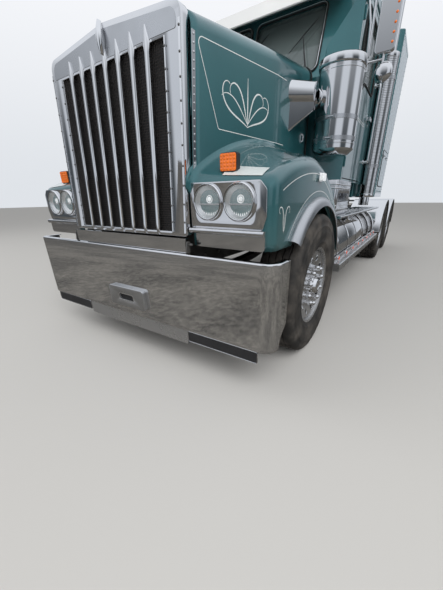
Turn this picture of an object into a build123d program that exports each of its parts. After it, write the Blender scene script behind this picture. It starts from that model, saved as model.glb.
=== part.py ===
# A long-nose semi truck tractor unit with a sleeper, twin-wheel tandem drive and a fifth wheel.
# Millimetres. +X is the truck's left side, -Y is forward, +Z is up.
# Lengths are stations: distances behind the flat face of the bumper.
import os
from math import atan, cos, radians, sin, sqrt, tan

from build123d import *

os.makedirs("parts", exist_ok=True)

# Overall
rear_end = 7190
tow_plate_reach = 30
overall_length = rear_end + tow_plate_reach
seam = 8

# Wheels and axles
tyre_radius = 525
tyre_width = 300
tread_half = 112
rim_radius = 286
rim_flange = 14
rim_half = 113
rim_lip = 12
front_axle_y = 841
front_wheel_x = 1045
drive_axle_ys = [5155, 6525]
twin_centre_x = 880
twin_spacing = 340
kingpin_x = 905
kingpin_radius = 22
spindle_radius = 36
drive_shaft_radius = 60
axle_seat = 90
pin_play = 1
bearing_gap = 5

# Frame
rail_outer_x = 430
rail_flange = 85
rail_wall = 9
rail_low = 700
rail_high = 970
rail_front = 150
rail_rear = rear_end - 50
cross_depth = 60
cross_height = 81
bumper_arm_wall = 15
bumper_arm_rear = 290
post_wide = (350, 420)
post_deep = 90
lamp_depth = 20

# Bumper
bumper_half = 1206
bumper_low = 328
bumper_high = 853
bumper_skin = 5
bumper_corner = 90
bumper_side = 180
bumper_flange = 40
valance_low = 225
valance_half = 570
name_plate_low = 249
name_plate_end = 1165
name_plate_gap = 5
tow_plate_half = 195
tow_plate_low = 400
tow_plate_high = 555
tow_slot_half = 84
tow_slot_height = 53
sill_panel_high = 940
sill_panel_half = 592
sill_panel_y = 30

# Nose
rake = 4
nose_y = 34
nose_z = 970
grille_low = 950
grille_half = 592
grille_depth = 60
mesh_half = 475
mesh_low = 977
mesh_high = 1895
mesh_recess = 12
mesh_wall = 4
bar_pitch = 119
bar_count = 7
bar_depth = 14
bar_low = 950
bar_high = 1967
bar_half = 17
spear_half = 26
gable_side = 2018
gable_top = 2068
gable_corner = 60

# Hood
hood_wall = 12
hood_rear = 1650
hood_side_low = 1150
hood_corner = 90
hood_crown = 45
hood_hinge_y = 45
hood_hinge_z = 905
hinge_x = 597
hinge_wall = 10
hinge_pin = 8

# Fenders
fender_inner = 600
fender_outer = 1128
fender_wall = 14
fender_front = 104
fender_front_low = 894
fender_rear_low = 690
arch_radius = 590
flare_reach = 56
flare_band = 61

# Lamps
lamp_xs = [729, 933]
lamp_z = 1138
lamp_radius = 90
lamp_rim = 98
bezel_end = 1092
bezel_low = 1001
bezel_high = 1255
bezel_wall = 12
shelf_low = 972
strip_start = 635
signal_x = 768
signal_width = 107
signal_low = 1280
signal_high = 1379
signal_y = 150

# Cab
cab_front = 1700
cab_rear = 3100
cab_low = 1310
cab_half = 1000
cowl_half = 760
cab_wall = 50
screen_low = (1760, 2130)
screen_high = (1960, 2740)
roof_split = 2780
roof_front = (2080, 2850)
roof_rear_z = 2900
screen_glass = 8
screen_post = 60
door_front = 1993
door_rear = 2967
door_low = 1330
door_high = 2740
door_hinge_x = cab_half + 5
door_hinge_y = door_front + seam
door_hinge_radius = 8
door_hinge_long = 90
door_hinge_zs = [1480, 2000, 2560]
passage_half = 700
passage_low = 1450
passage_high = 2600

# Mirrors
mirror_gap = 110
mirror_width = 160
mirror_y = 2050
mirror_low = 2270
mirror_high = 2690
arm_half = 10
round_mirror_z = 2150
round_mirror_radius = 75

# Sleeper, with a neck that leaves room for the exhaust stacks
stack_guard = 108
stack_behind_cab = 130
stack_y = cab_rear + stack_behind_cab
sleeper_rear = 4250
sleeper_half = 1150
sleeper_neck = 925
sleeper_low = 1150
sleeper_high = 2950
neck_rear = stack_y + stack_guard + 12
neck_taper = 130
neck_flare = neck_rear + neck_taper

# Tanks and steps
tank_x = 820
tank_z = 664
tank_radius = 305
tank_front = 1560
tank_rear = 4350
strap_count = 6
strap_width = 50
strap_wall = 6
deck_half_in = 780
deck_out = 1150
deck_wall = 25
step_rail_out = 1205
step_rail_in = 1130
step_rail_low = 490
step_rail_high = 565
step_strip_high = 620
step_front = 1520
rail_lamp_count = 8
rail_lamp_radius = 26
box_in = 800
box_out = 1080
box_rear = 2150
box_high = 1300

# Air cleaners and stacks
cleaner_x = 966
cleaner_y = 1634
cleaner_radius = 172
cleaner_low = 1492
cleaner_high = 2164
cleaner_cap = 182
stack_x = 1060
stack_guard_low = 1150
stack_guard_high = 2650
stack_pipe = 64
stack_high = 3450

# Fifth wheel
fifth_y = 5700
fifth_pivot_z = 1080
fifth_top = 1215
fifth_plate = 35
fifth_half_width = 450
fifth_half_length = 430
kingpin_bore = 26
kingpin_slot_half = 45


def at(y):
    return y + tow_plate_reach - overall_length / 2


def side(x):
    return Plane(origin=(x, at(0), 0), x_dir=(0, 1, 0), z_dir=(1, 0, 0))


def level(z):
    return Plane(origin=(0, at(0), z), x_dir=(1, 0, 0), z_dir=(0, 0, 1))


def across(y, z=0):
    return Plane(origin=(0, at(y), z), x_dir=(1, 0, 0), z_dir=(0, -1, 0))


def block(x, y, z, mode=Mode.ADD):
    with Locations(((x[0] + x[1]) / 2, at((y[0] + y[1]) / 2), (z[0] + z[1]) / 2)):
        Box(x[1] - x[0], y[1] - y[0], z[1] - z[0], mode=mode)


def save(piece, name):
    piece.part.label = name
    export_step(piece.part, "parts/" + name + ".step")


def nose(z):
    return nose_y + (z - nose_z) * tan(radians(rake))


# Frame rails with the bumper arms and cab posts
with BuildPart() as frame_rails:
    with BuildSketch(across(rail_rear)):
        with Locations((rail_outer_x, (rail_low + rail_high) / 2)):
            Rectangle(rail_flange, rail_high - rail_low, align=(Align.MAX, Align.CENTER))
        with Locations((rail_outer_x - rail_wall, (rail_low + rail_high) / 2)):
            Rectangle(
                rail_flange,
                rail_high - rail_low - 2 * rail_wall,
                align=(Align.MAX, Align.CENTER),
                mode=Mode.SUBTRACT,
            )
    extrude(amount=rail_rear - rail_front)
    block((rail_outer_x, rail_outer_x + bumper_arm_wall), (bumper_skin, bumper_arm_rear), (560, 800))
    post_fronts = [(cab_front + 60, cab_low), (cab_rear - 120, cab_low), (sleeper_rear - 170, sleeper_low)]
    for post_front, post_top in post_fronts:
        block(post_wide, (post_front, post_front + post_deep), (rail_high, post_top))
    mirror(about=Plane.YZ)
save(frame_rails, "frame_rails")

# Cross members between the rails' webs, each a plain bar
member_ys = [rail_front + 10, cab_rear - 500, 3500, 4400, drive_axle_ys[1] - 685, rail_rear - cross_depth]
member_high = rail_high - rail_wall
with BuildPart() as cross_members:
    half = rail_outer_x - rail_wall
    for member_y in member_ys:
        block((-half, half), (member_y, member_y + cross_depth), (member_high - cross_height, member_high))
save(cross_members, "cross_members")

# Tank straps and the brackets that carry the tanks
strap_gap = (tank_rear - tank_front - 300) / (strap_count - 1)
strap_ys = [tank_front + 150 + i * strap_gap for i in range(strap_count)]
strap_radius = tank_radius + strap_wall

with BuildPart() as fuel_tanks:
    with BuildSketch(across(tank_rear, tank_z)):
        with Locations((tank_x, 0)):
            Circle(tank_radius)
    extrude(amount=tank_rear - tank_front)
    fillet(fuel_tanks.edges(), 20)
    mirror(about=Plane.YZ)
save(fuel_tanks, "fuel_tanks")

with BuildPart() as tank_straps:
    for strap_y in strap_ys:
        with BuildSketch(across(strap_y + strap_width / 2, tank_z)):
            with Locations((tank_x, 0)):
                Circle(strap_radius)
                Circle(tank_radius, mode=Mode.SUBTRACT)
        extrude(amount=strap_width)
    mirror(about=Plane.YZ)
save(tank_straps, "tank_straps")

with BuildPart() as tank_brackets:
    for strap_y in strap_ys:
        with BuildSketch(across(strap_y + strap_width / 2)):
            with BuildLine():
                Polyline(
                    (rail_outer_x, rail_high - 10),
                    (rail_outer_x, rail_low),
                    (tank_x - 200, tank_z - strap_radius + 10),
                    (tank_x, tank_z - strap_radius - 15),
                    (tank_x + 150, tank_z - strap_radius + 10),
                    (tank_x + 150, tank_z),
                    (tank_x - 200, rail_high - 10),
                    close=True,
                )
            make_face()
            with Locations((tank_x, tank_z)):
                Circle(strap_radius, mode=Mode.SUBTRACT)
            with Locations((tank_x + strap_radius, tank_z)):
                Rectangle(
                    strap_radius * 2, strap_radius, align=(Align.CENTER, Align.MIN), mode=Mode.SUBTRACT
                )
        extrude(amount=strap_width)
    mirror(about=Plane.YZ)
save(tank_brackets, "tank_brackets")

# Deck over the tanks, and the polished step rail below
with BuildPart() as side_steps:
    block((deck_half_in, deck_out), (step_front, tank_rear), (tank_z + strap_radius, tank_z + strap_radius + deck_wall))
    with BuildSketch(across(tank_rear)):
        with BuildLine():
            Polyline(
                (step_rail_in, step_rail_low),
                (step_rail_out, step_rail_low),
                (step_rail_out, step_rail_high),
                (step_rail_in + 20, step_rail_high),
                (step_rail_in + 20, step_strip_high),
                (step_rail_in, step_strip_high),
                close=True,
            )
        make_face()
    extrude(amount=tank_rear - step_front)
    for strap_y in strap_ys:
        block((tank_x + 240, step_rail_in), (strap_y - 20, strap_y + 20), (520, 550))
    with Locations((tank_x, at((tank_front + tank_rear) / 2), tank_z)):
        Cylinder(strap_radius, tank_rear - tank_front, rotation=(90, 0, 0), mode=Mode.SUBTRACT)
    mirror(about=Plane.YZ)
save(side_steps, "side_steps")

with BuildPart() as marker_lamps:
    lamp_gap = (tank_rear - step_front - 300) / (rail_lamp_count - 1)
    for i in range(rail_lamp_count):
        with Locations((step_rail_in + 28, at(step_front + 150 + i * lamp_gap), (step_rail_high + step_strip_high) / 2)):
            Cylinder(rail_lamp_radius, 16, rotation=(0, 90, 0))
    for lamp_x in (300, 520):
        block((lamp_x - 90, lamp_x + 90), (rear_end - lamp_depth, rear_end), (810, 890))
    mirror(about=Plane.YZ)
save(marker_lamps, "marker_lamps")

with BuildPart() as tail_bar:
    block((-640, 640), (rail_rear, rear_end - lamp_depth), (790, 910))
save(tail_bar, "tail_bar")

with BuildPart() as step_boxes:
    deck_top = tank_z + strap_radius + deck_wall
    block((box_in, box_out), (tank_front + 10, box_rear), (deck_top, box_high))
    fillet(step_boxes.edges().filter_by(Axis.Y), 18)
    mirror(about=Plane.YZ)
save(step_boxes, "step_boxes")

# Bumper with its lower plates and the tow pin plate
with BuildPart() as bumper:
    with BuildSketch(level(bumper_low)):
        with Locations((0, 0)):
            Rectangle(2 * bumper_half, bumper_side, align=(Align.CENTER, Align.MIN))
        fillet(vertices().group_by(Axis.Y)[0], bumper_corner)
    extrude(amount=bumper_high - bumper_low)
    with BuildSketch(level(bumper_low)):
        with Locations((0, bumper_skin)):
            Rectangle(2 * (bumper_half - bumper_skin), bumper_side, align=(Align.CENTER, Align.MIN))
        fillet(vertices().group_by(Axis.Y)[0], bumper_corner - bumper_skin)
    extrude(amount=bumper_high - bumper_low - bumper_skin, mode=Mode.SUBTRACT)
    opening_half = bumper_half - bumper_flange
    block((-opening_half, opening_half), (bumper_flange, bumper_side), (bumper_low, bumper_high), Mode.SUBTRACT)
    with BuildSketch(side(-bumper_half)):
        with BuildLine():
            Polyline(
                (bumper_corner, bumper_low),
                (bumper_side, bumper_low),
                (bumper_side, bumper_low + 140),
                (bumper_corner + 20, bumper_low + 70),
                close=True,
            )
        make_face()
    extrude(amount=2 * bumper_half, mode=Mode.SUBTRACT)
    plate_back = bumper_skin + bumper_skin
    block((-valance_half, valance_half), (bumper_skin, plate_back), (valance_low, bumper_low + 60))
    for end in (-1, 1):
        near, far = valance_half + name_plate_gap, name_plate_end - bumper_corner + 40
        limits = (near, far) if end > 0 else (-far, -near)
        block(limits, (bumper_skin, plate_back), (name_plate_low, bumper_low + 60))
    block((-tow_plate_half, tow_plate_half), (-tow_plate_reach, 0), (tow_plate_low, tow_plate_high))
    slot_mid = (tow_plate_low + tow_plate_high) / 2
    slot = (slot_mid - tow_slot_height / 2, slot_mid + tow_slot_height / 2)
    block((-tow_slot_half, tow_slot_half), (-tow_plate_reach, bumper_skin), slot, Mode.SUBTRACT)
    # Sill panel that stands on the top flange under the grille
    block((-sill_panel_half, sill_panel_half), (sill_panel_y, sill_panel_y + bumper_skin), (bumper_high, sill_panel_high))
    for end in (-1, 1):
        inner = end * (hinge_x + hinge_wall / 2)
        with Locations((inner, at(hood_hinge_y - 8), (bumper_high + hood_hinge_z + 20) / 2)):
            Box(hinge_wall, 34, hood_hinge_z + 20 - bumper_high)
        with Locations((end * (hinge_x + hinge_wall + 12), at(hood_hinge_y), hood_hinge_z)):
            Cylinder(hinge_pin, 24, rotation=(0, 90, 0))
save(bumper, "bumper")

# Radiator and engine
with BuildPart() as radiator:
    block((-rail_outer_x, rail_outer_x), (180, 270), (rail_high, 1850))
save(radiator, "radiator")

with BuildPart() as engine:
    block((-300, 300), (420, 1540), (660, 1700))
    fillet(engine.edges().filter_by(Axis.Y).group_by(Axis.Z)[-1], 90)
    block((-rail_outer_x + rail_wall, rail_outer_x - rail_wall), (900, 1100), (760, 900))
save(engine, "engine")

axle_z = tyre_radius
prop_radius = 60
prop_high = 820
with BuildPart() as driveline:
    block((-210, 210), (1540, 2300), (740, 1120))
    fillet(driveline.edges().filter_by(Axis.Y), 60)
    prop_end = drive_axle_ys[0] - 250
    drop = atan((prop_high - axle_z - prop_radius) / (prop_end - 2280))
    prop_plane = Plane(origin=(0, at(2280), prop_high), x_dir=(1, 0, 0), z_dir=(0, cos(drop), -sin(drop)))
    with BuildSketch(prop_plane):
        Circle(prop_radius)
    extrude(amount=(prop_end - 2280) / cos(drop))
    with BuildSketch(Plane(origin=(0, at(drive_axle_ys[0] + 230), axle_z), x_dir=(1, 0, 0), z_dir=(0, 1, 0))):
        Circle(prop_radius * 0.8)
    extrude(amount=drive_axle_ys[1] - drive_axle_ys[0] - 460)
save(driveline, "driveline")

# Front axle with kingpin bosses
with BuildPart() as front_axle:
    with BuildSketch(across(front_axle_y + 55)):
        with BuildLine():
            Polyline(
                (0, 430),
                (560, 430),
                (740, 470),
                (kingpin_x, 470),
                (kingpin_x, 585),
                (390, 585),
                (340, 545),
                (0, 545),
                close=True,
            )
        make_face()
    extrude(amount=110)
    with Locations((kingpin_x, at(front_axle_y), 470)):
        Cylinder(48, 115, align=(Align.CENTER, Align.CENTER, Align.MIN))
    mirror(about=Plane.YZ)
    for end in (-1, 1):
        with Locations((end * kingpin_x, at(front_axle_y), 470)):
            Cylinder(
                kingpin_radius + pin_play,
                115,
                align=(Align.CENTER, Align.CENTER, Align.MIN),
                mode=Mode.SUBTRACT,
            )
save(front_axle, "front_axle")

# Leaf springs in front, trailing arms and air springs behind
with BuildPart() as suspension:
    with BuildSketch(side(390)):
        with BuildLine():
            ThreePointArc((300, rail_low), (front_axle_y, 655), (1400, rail_low))
            Line((1400, rail_low), (1400, 655))
            ThreePointArc((1400, 655), (front_axle_y, 597), (300, 655))
            Line((300, 655), (300, rail_low))
        make_face()
    extrude(amount=80)
    block((390, 470), (front_axle_y - 60, front_axle_y + 60), (585, 620))
    for axle_y in drive_axle_ys:
        with BuildSketch(side(390)):
            with BuildLine():
                ThreePointArc((axle_y - 560, rail_low), (axle_y, rail_low - 30), (axle_y + 560, rail_low))
                Line((axle_y + 560, rail_low), (axle_y + 560, rail_low - 45))
                ThreePointArc(
                    (axle_y + 560, rail_low - 45), (axle_y, axle_z + axle_seat), (axle_y - 560, rail_low - 45)
                )
                Line((axle_y - 560, rail_low - 45), (axle_y - 560, rail_low))
            make_face()
        extrude(amount=80)
    mirror(about=Plane.YZ)
save(suspension, "suspension")

with BuildPart() as drive_axles:
    for axle_y in drive_axle_ys:
        with BuildSketch(across(axle_y, axle_z)):
            with BuildLine():
                Polyline(
                    (0, 0),
                    (0, 215),
                    (120, 215),
                    (230, 85),
                    (520, 70),
                    (540, drive_shaft_radius),
                    (twin_centre_x + 180, drive_shaft_radius),
                    (twin_centre_x + 180, 0),
                    close=True,
                )
            make_face()
        revolve(axis=Axis((0, at(axle_y), axle_z), (1, 0, 0)))
        with Locations((430, at(axle_y), axle_z)):
            Box(80, 110, 2 * axle_seat)
    mirror(about=Plane.YZ)
save(drive_axles, "drive_axles")


def wheel_axis(y):
    return Axis((0, at(y), axle_z), (1, 0, 0))


def ring_section(y, mid_x, corners):
    with BuildSketch(across(y, axle_z)) as section:
        with BuildLine():
            Polyline(*[(mid_x + reach, radius) for reach, radius in corners], close=True)
        make_face()
    return section.sketch


def tyre_section(y, mid_x):
    half = tyre_width / 2
    flank = [
        (rim_half, rim_radius),
        (rim_half, rim_radius + rim_flange),
        (half - 9, tyre_radius - 180),
        (half, tyre_radius - 125),
        (half - 7, tyre_radius - 65),
        (half - 20, tyre_radius - 20),
        (tread_half, tyre_radius),
    ]
    return ring_section(y, mid_x, flank + [(-reach, radius) for reach, radius in reversed(flank)])


def barrel_section(y, mid_x):
    edge = rim_half + rim_lip
    flank = [
        (rim_half, rim_radius),
        (rim_half, rim_radius + rim_flange),
        (edge, rim_radius + rim_flange),
        (edge, rim_radius - 12),
        (edge - 25, rim_radius - 26),
    ]
    return ring_section(y, mid_x, flank + [(-reach, radius) for reach, radius in reversed(flank)])


def front_hub_section(y, inner_x):
    reach = front_wheel_x + 80
    with BuildSketch(across(y, axle_z)) as section:
        with BuildLine():
            Polyline(
                (inner_x, spindle_radius + pin_play),
                (inner_x, 110),
                (inner_x + 20, 205),
                (reach - 28, 170),
                (reach + 5, rim_radius - 20),
                (reach + 20, rim_radius - 20),
                (reach, 160),
                (reach + 45, 105),
                (reach + 70, 80),
                (reach + 76, 0),
                (reach + 30, 0),
                (reach + 30, spindle_radius + pin_play),
                close=True,
            )
        make_face()
    return section.sketch


def twin_hub_section(y):
    plate = 12
    bore = drive_shaft_radius + pin_play
    outer_edge = twin_centre_x + twin_spacing / 2 - rim_half
    inner_edge = twin_centre_x - twin_spacing / 2 + rim_half
    with BuildSketch(across(y, axle_z)) as section:
        with BuildLine():
            Polyline(
                (twin_centre_x - 250, bore),
                (twin_centre_x - 250, 200),
                (twin_centre_x - 60, 205),
                (inner_edge, rim_radius - 10),
                (outer_edge, rim_radius - 10),
                (twin_centre_x + plate, 200),
                (twin_centre_x + plate, 120),
                (twin_centre_x + 200, 110),
                (twin_centre_x + 245, 75),
                (twin_centre_x + 250, 0),
                (twin_centre_x + 190, 0),
                (twin_centre_x + 190, bore),
                close=True,
            )
        make_face()
    return section.sketch


web_in = kingpin_x + 55
web_out = web_in + 25
for end, name in [(1, "left"), (-1, "right")]:
    with BuildPart() as knuckle:
        with Locations((kingpin_x, at(front_axle_y), 440)):
            Cylinder(kingpin_radius, 175, align=(Align.CENTER, Align.CENTER, Align.MIN))
            Cylinder(44, 25, align=(Align.CENTER, Align.CENTER, Align.MIN))
        with Locations((kingpin_x, at(front_axle_y), 590)):
            Cylinder(44, 25, align=(Align.CENTER, Align.CENTER, Align.MIN))
        for ear in (440, 590):
            block((kingpin_x, web_out), (front_axle_y - 44, front_axle_y + 44), (ear, ear + 25))
        block((web_in, web_out), (front_axle_y - 60, front_axle_y + 60), (440, 615))
        with Locations((web_out, at(front_axle_y), axle_z)):
            Cylinder(
                spindle_radius,
                front_wheel_x + 100 - web_out,
                rotation=(0, 90, 0),
                align=(Align.CENTER, Align.CENTER, Align.MIN),
            )
        if end < 0:
            mirror(about=Plane.YZ, mode=Mode.REPLACE)
    save(knuckle, "knuckle_" + name)

    with BuildPart() as tyre:
        revolve(tyre_section(front_axle_y, front_wheel_x), axis=wheel_axis(front_axle_y))
        if end < 0:
            mirror(about=Plane.YZ, mode=Mode.REPLACE)
    save(tyre, "tyre_front_" + name)

    with BuildPart() as rim:
        revolve(barrel_section(front_axle_y, front_wheel_x), axis=wheel_axis(front_axle_y))
        revolve(front_hub_section(front_axle_y, web_out + bearing_gap), axis=wheel_axis(front_axle_y))
        if end < 0:
            mirror(about=Plane.YZ, mode=Mode.REPLACE)
    save(rim, "rim_front_" + name)

    for number, axle_y in enumerate(drive_axle_ys, 1):
        tag = str(number) + "_" + name
        mids = [twin_centre_x - twin_spacing / 2, twin_centre_x + twin_spacing / 2]
        with BuildPart() as twin_tyres:
            for mid_x in mids:
                revolve(tyre_section(axle_y, mid_x), axis=wheel_axis(axle_y))
            if end < 0:
                mirror(about=Plane.YZ, mode=Mode.REPLACE)
        save(twin_tyres, "tyres_drive_" + tag)

        with BuildPart() as twin_rims:
            for mid_x in mids:
                revolve(barrel_section(axle_y, mid_x), axis=wheel_axis(axle_y))
            revolve(twin_hub_section(axle_y), axis=wheel_axis(axle_y))
            if end < 0:
                mirror(about=Plane.YZ, mode=Mode.REPLACE)
        save(twin_rims, "rims_drive_" + tag)

# Half-round guards over the drive wheels, each on an arm from the frame
guard_inner = 575
guard_wall = 6
guard_low = 40
guard_reach = (620, 1210)
with BuildPart() as rear_mudguards:
    for axle_y in drive_axle_ys:
        with BuildSketch(side(guard_reach[0])):
            with Locations((axle_y, axle_z)):
                Circle(guard_inner + guard_wall)
                Circle(guard_inner, mode=Mode.SUBTRACT)
                Rectangle(1400, 700, align=(Align.CENTER, Align.MAX), mode=Mode.SUBTRACT)
                with Locations((0, guard_low)):
                    Rectangle(1400, 700, align=(Align.CENTER, Align.MAX), mode=Mode.SUBTRACT)
        extrude(amount=guard_reach[1] - guard_reach[0])
        arm_high = axle_z + guard_inner
        block((rail_outer_x - 50, guard_reach[0] + 20), (axle_y - 25, axle_y + 25), (arm_high - 22, arm_high + 2))
        block((rail_outer_x - 50, rail_outer_x), (axle_y - 25, axle_y + 25), (rail_high, arm_high))
    mirror(about=Plane.YZ)
save(rear_mudguards, "rear_mudguards")

# Fifth wheel: a base on the rails and a plate that tilts on two pins
fifth_ear = (300, 340)
fifth_bracket = (350, 390)
fifth_pin = 20
with BuildPart() as fifth_wheel_base:
    block((-rail_outer_x, rail_outer_x), (fifth_y - 220, fifth_y + 220), (rail_high, rail_high + 20))
    for end in (-1, 1):
        near, far = fifth_bracket
        with Locations((end * (near + far) / 2, at(fifth_y), rail_high + 20)):
            Box(far - near, 120, fifth_pivot_z - rail_high + 20, align=(Align.CENTER, Align.CENTER, Align.MIN))
        with Locations((end * (near + fifth_ear[0] - 4) / 2, at(fifth_y), fifth_pivot_z)):
            Cylinder(fifth_pin, near - fifth_ear[0] + 4, rotation=(0, 90, 0))
save(fifth_wheel_base, "fifth_wheel_base")

with BuildPart() as fifth_wheel_plate:
    with BuildSketch(level(fifth_top - fifth_plate)):
        with Locations((0, fifth_y)):
            Rectangle(2 * fifth_half_width, 2 * fifth_half_length)
        fillet(vertices().group_by(Axis.Y)[0], 190)
        fillet(vertices().group_by(Axis.Y)[-1], 50)
        with BuildLine():
            Polyline(
                (-kingpin_slot_half, fifth_y),
                (-190, fifth_y + fifth_half_length + 5),
                (190, fifth_y + fifth_half_length + 5),
                (kingpin_slot_half, fifth_y),
                close=True,
            )
        make_face(mode=Mode.SUBTRACT)
        with Locations((0, fifth_y)):
            Circle(kingpin_slot_half, mode=Mode.SUBTRACT)
    extrude(amount=fifth_plate)
    jaw_high = fifth_top - fifth_plate
    block((-150, 150), (fifth_y - 120, fifth_y + 90), (jaw_high - 45, jaw_high))
    for end in (-1, 1):
        with Locations((end * (fifth_ear[0] + fifth_ear[1]) / 2, at(fifth_y), jaw_high)):
            Box(fifth_ear[1] - fifth_ear[0], 110, jaw_high - fifth_pivot_z + 40, align=(Align.CENTER, Align.CENTER, Align.MAX))
    with Locations((0, at(fifth_y), fifth_pivot_z)):
        Cylinder(fifth_pin + pin_play, 2 * fifth_ear[1] + 20, rotation=(0, 90, 0), mode=Mode.SUBTRACT)
    with Locations((0, at(fifth_y), fifth_top)):
        Cylinder(kingpin_bore, 200, mode=Mode.SUBTRACT)
save(fifth_wheel_plate, "fifth_wheel_plate")


# Hood: a crowned shell from three cross sections
def hood_section(y, half_width, corner_z, inset):
    half, top, curve = half_width - inset, corner_z - inset, hood_corner - inset
    low = hood_side_low - (60 if inset else 0)
    turn = curve * (1 - sqrt(0.5))
    with BuildSketch(across(y)) as section:
        with BuildLine():
            Line((-half, low), (-half, top - curve))
            ThreePointArc((-half, top - curve), (turn - half, top - turn), (curve - half, top))
            ThreePointArc((curve - half, top), (0, top + hood_crown), (half - curve, top))
            ThreePointArc((half - curve, top), (half - turn, top - turn), (half, top - curve))
            Line((half, top - curve), (half, low))
            Line((half, low), (-half, low))
        make_face()
    return section.sketch


# Each row: station, half width, height of the top corner
hood_stations = [(40, grille_half, 2000), (1000, 702, 2095), (hood_rear, 712, 2178)]


def hood_loft(inset):
    reach = 2 if inset else 0
    sections = []
    for row, (y, half, corner) in enumerate(hood_stations):
        shift = reach * (row - 1)
        sections.append(hood_section(y + shift, half, corner, inset))
    return loft(sections, ruled=True, mode=Mode.PRIVATE)


with BuildPart() as hood_outer:
    add(hood_loft(0))

nose_back = bar_depth + grille_depth
with BuildPart() as hood_shell:
    add(hood_loft(0))
    add(hood_loft(hood_wall), mode=Mode.SUBTRACT)
    with BuildSketch(side(-800)):
        with BuildLine():
            Polyline((0, 800), (nose(800) + nose_back, 800), (nose(2300) + nose_back, 2300), (0, 2300), close=True)
        make_face()
    extrude(amount=1600, mode=Mode.SUBTRACT)
save(hood_shell, "hood_shell")


def fender_section(x, start, mid_front, peak, mid_rear, end, inset):
    with BuildSketch(side(x)) as section:
        with BuildLine():
            Line((fender_front, fender_front_low), start)
            ThreePointArc(start, mid_front, peak)
            ThreePointArc(peak, mid_rear, end)
            Line(end, (end[0], fender_rear_low))
            Line((end[0], fender_rear_low), (fender_front, fender_front_low))
        make_face()
        if inset:
            offset(amount=-inset, kind=Kind.INTERSECTION, mode=Mode.REPLACE)
    return section.sketch


fender_rear = 1480
fender_rows = [
    ((fender_front, 1262), (400, 1425), (848, 1536), (1180, 1558), (fender_rear, 1550)),
    ((fender_front, 1243), (400, 1343), (747, 1380), (1150, 1258), (fender_rear, 1000)),
]


def fender_loft(inset):
    inner = fender_section(fender_inner - inset, *fender_rows[0], inset)
    outer = fender_section(fender_outer - inset, *fender_rows[1], inset)
    return loft([inner, outer], ruled=True, mode=Mode.PRIVATE)


shoulder = 60
with BuildPart() as fender_block:
    add(fender_loft(0))
    outer_edges = fender_block.edges().filter_by_position(Axis.X, fender_outer - 1, fender_outer + 1)
    fillet(outer_edges.filter_by(GeomType.CIRCLE), shoulder)

with BuildPart() as fender_hollow:
    add(fender_loft(fender_wall))
    outer_edges = fender_hollow.edges().filter_by_position(
        Axis.X, fender_outer - fender_wall - 1, fender_outer - fender_wall + 1
    )
    fillet(outer_edges.filter_by(GeomType.CIRCLE), shoulder - fender_wall)

with BuildPart() as fenders:
    add(fender_block.part)
    add(fender_hollow.part, mode=Mode.SUBTRACT)
    block(
        (fender_inner - 5, fender_outer - fender_wall),
        (fender_front + fender_wall, fender_rear - fender_wall),
        (fender_rear_low - 10, fender_front_low + 30),
        Mode.SUBTRACT,
    )
    add(hood_outer.part, mode=Mode.SUBTRACT)
    with Locations((fender_outer, at(front_axle_y), axle_z)):
        Cylinder(arch_radius, 100, rotation=(0, 90, 0), mode=Mode.SUBTRACT)
    block((hinge_x + hinge_wall + 5, hinge_x + hinge_wall + 19), (hood_hinge_y - 12, fender_front), (fender_front_low, hood_hinge_z + 20))
    with Locations((hinge_x + hinge_wall + 12, at(hood_hinge_y), hood_hinge_z)):
        Cylinder(hinge_pin + pin_play, 40, rotation=(0, 90, 0), mode=Mode.SUBTRACT)
    mirror(about=Plane.YZ)
save(fenders, "fenders")

with BuildPart() as fender_flares:
    with BuildSketch(across(front_axle_y, axle_z)):
        with BuildLine():
            Polyline(
                (fender_outer, arch_radius + 34),
                (fender_outer, arch_radius + 46),
                (fender_outer + 18, arch_radius + 46),
                (fender_outer + 52, arch_radius + 12),
                (fender_outer + flare_reach, arch_radius - 15),
                (fender_outer + 44, arch_radius - 15),
                (fender_outer + 40, arch_radius + 5),
                (fender_outer + 12, arch_radius + 34),
                close=True,
            )
        make_face()
    revolve(axis=wheel_axis(front_axle_y))
    flare_span = (fender_outer - 1, fender_outer + flare_reach + 1)
    block(flare_span, (front_axle_y - 700, front_axle_y), (-200, fender_front_low + 6), Mode.SUBTRACT)
    block(flare_span, (front_axle_y, front_axle_y + 700), (-200, fender_rear_low + 20), Mode.SUBTRACT)
    mirror(about=Plane.YZ)
save(fender_flares, "fender_flares")

# Grille: raked surround with a gable top, woven panel and spear bars
with BuildPart() as grille_surround:
    with BuildSketch(across(300)):
        with BuildLine():
            Polyline(
                (-grille_half, grille_low),
                (grille_half, grille_low),
                (grille_half, gable_side - 4),
                (0, gable_top),
                (-grille_half, gable_side - 4),
                close=True,
            )
        make_face()
        fillet(vertices().group_by(Axis.X)[0].sort_by(Axis.Y)[-1], gable_corner)
        fillet(vertices().group_by(Axis.X)[-1].sort_by(Axis.Y)[-1], gable_corner)
    extrude(amount=300)
    with BuildSketch(side(-grille_half)):
        with BuildLine():
            low, high = grille_low - 20, gable_top + 20
            Polyline(
                (nose(low) + bar_depth, low),
                (nose(low) + nose_back, low),
                (nose(high) + nose_back, high),
                (nose(high) + bar_depth, high),
                close=True,
            )
        make_face()
    extrude(amount=2 * grille_half, mode=Mode.INTERSECT)
    block((-mesh_half, mesh_half), (0, 300), (mesh_low, mesh_high), Mode.SUBTRACT)
save(grille_surround, "grille_surround")

with BuildPart() as grille_mesh:
    with BuildSketch(side(-mesh_half)):
        with BuildLine():
            front = bar_depth + mesh_recess
            Polyline(
                (nose(mesh_low) + front, mesh_low),
                (nose(mesh_low) + front + mesh_wall, mesh_low),
                (nose(mesh_high) + front + mesh_wall, mesh_high),
                (nose(mesh_high) + front, mesh_high),
                close=True,
            )
        make_face()
    extrude(amount=2 * mesh_half)
save(grille_mesh, "grille_mesh")

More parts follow.
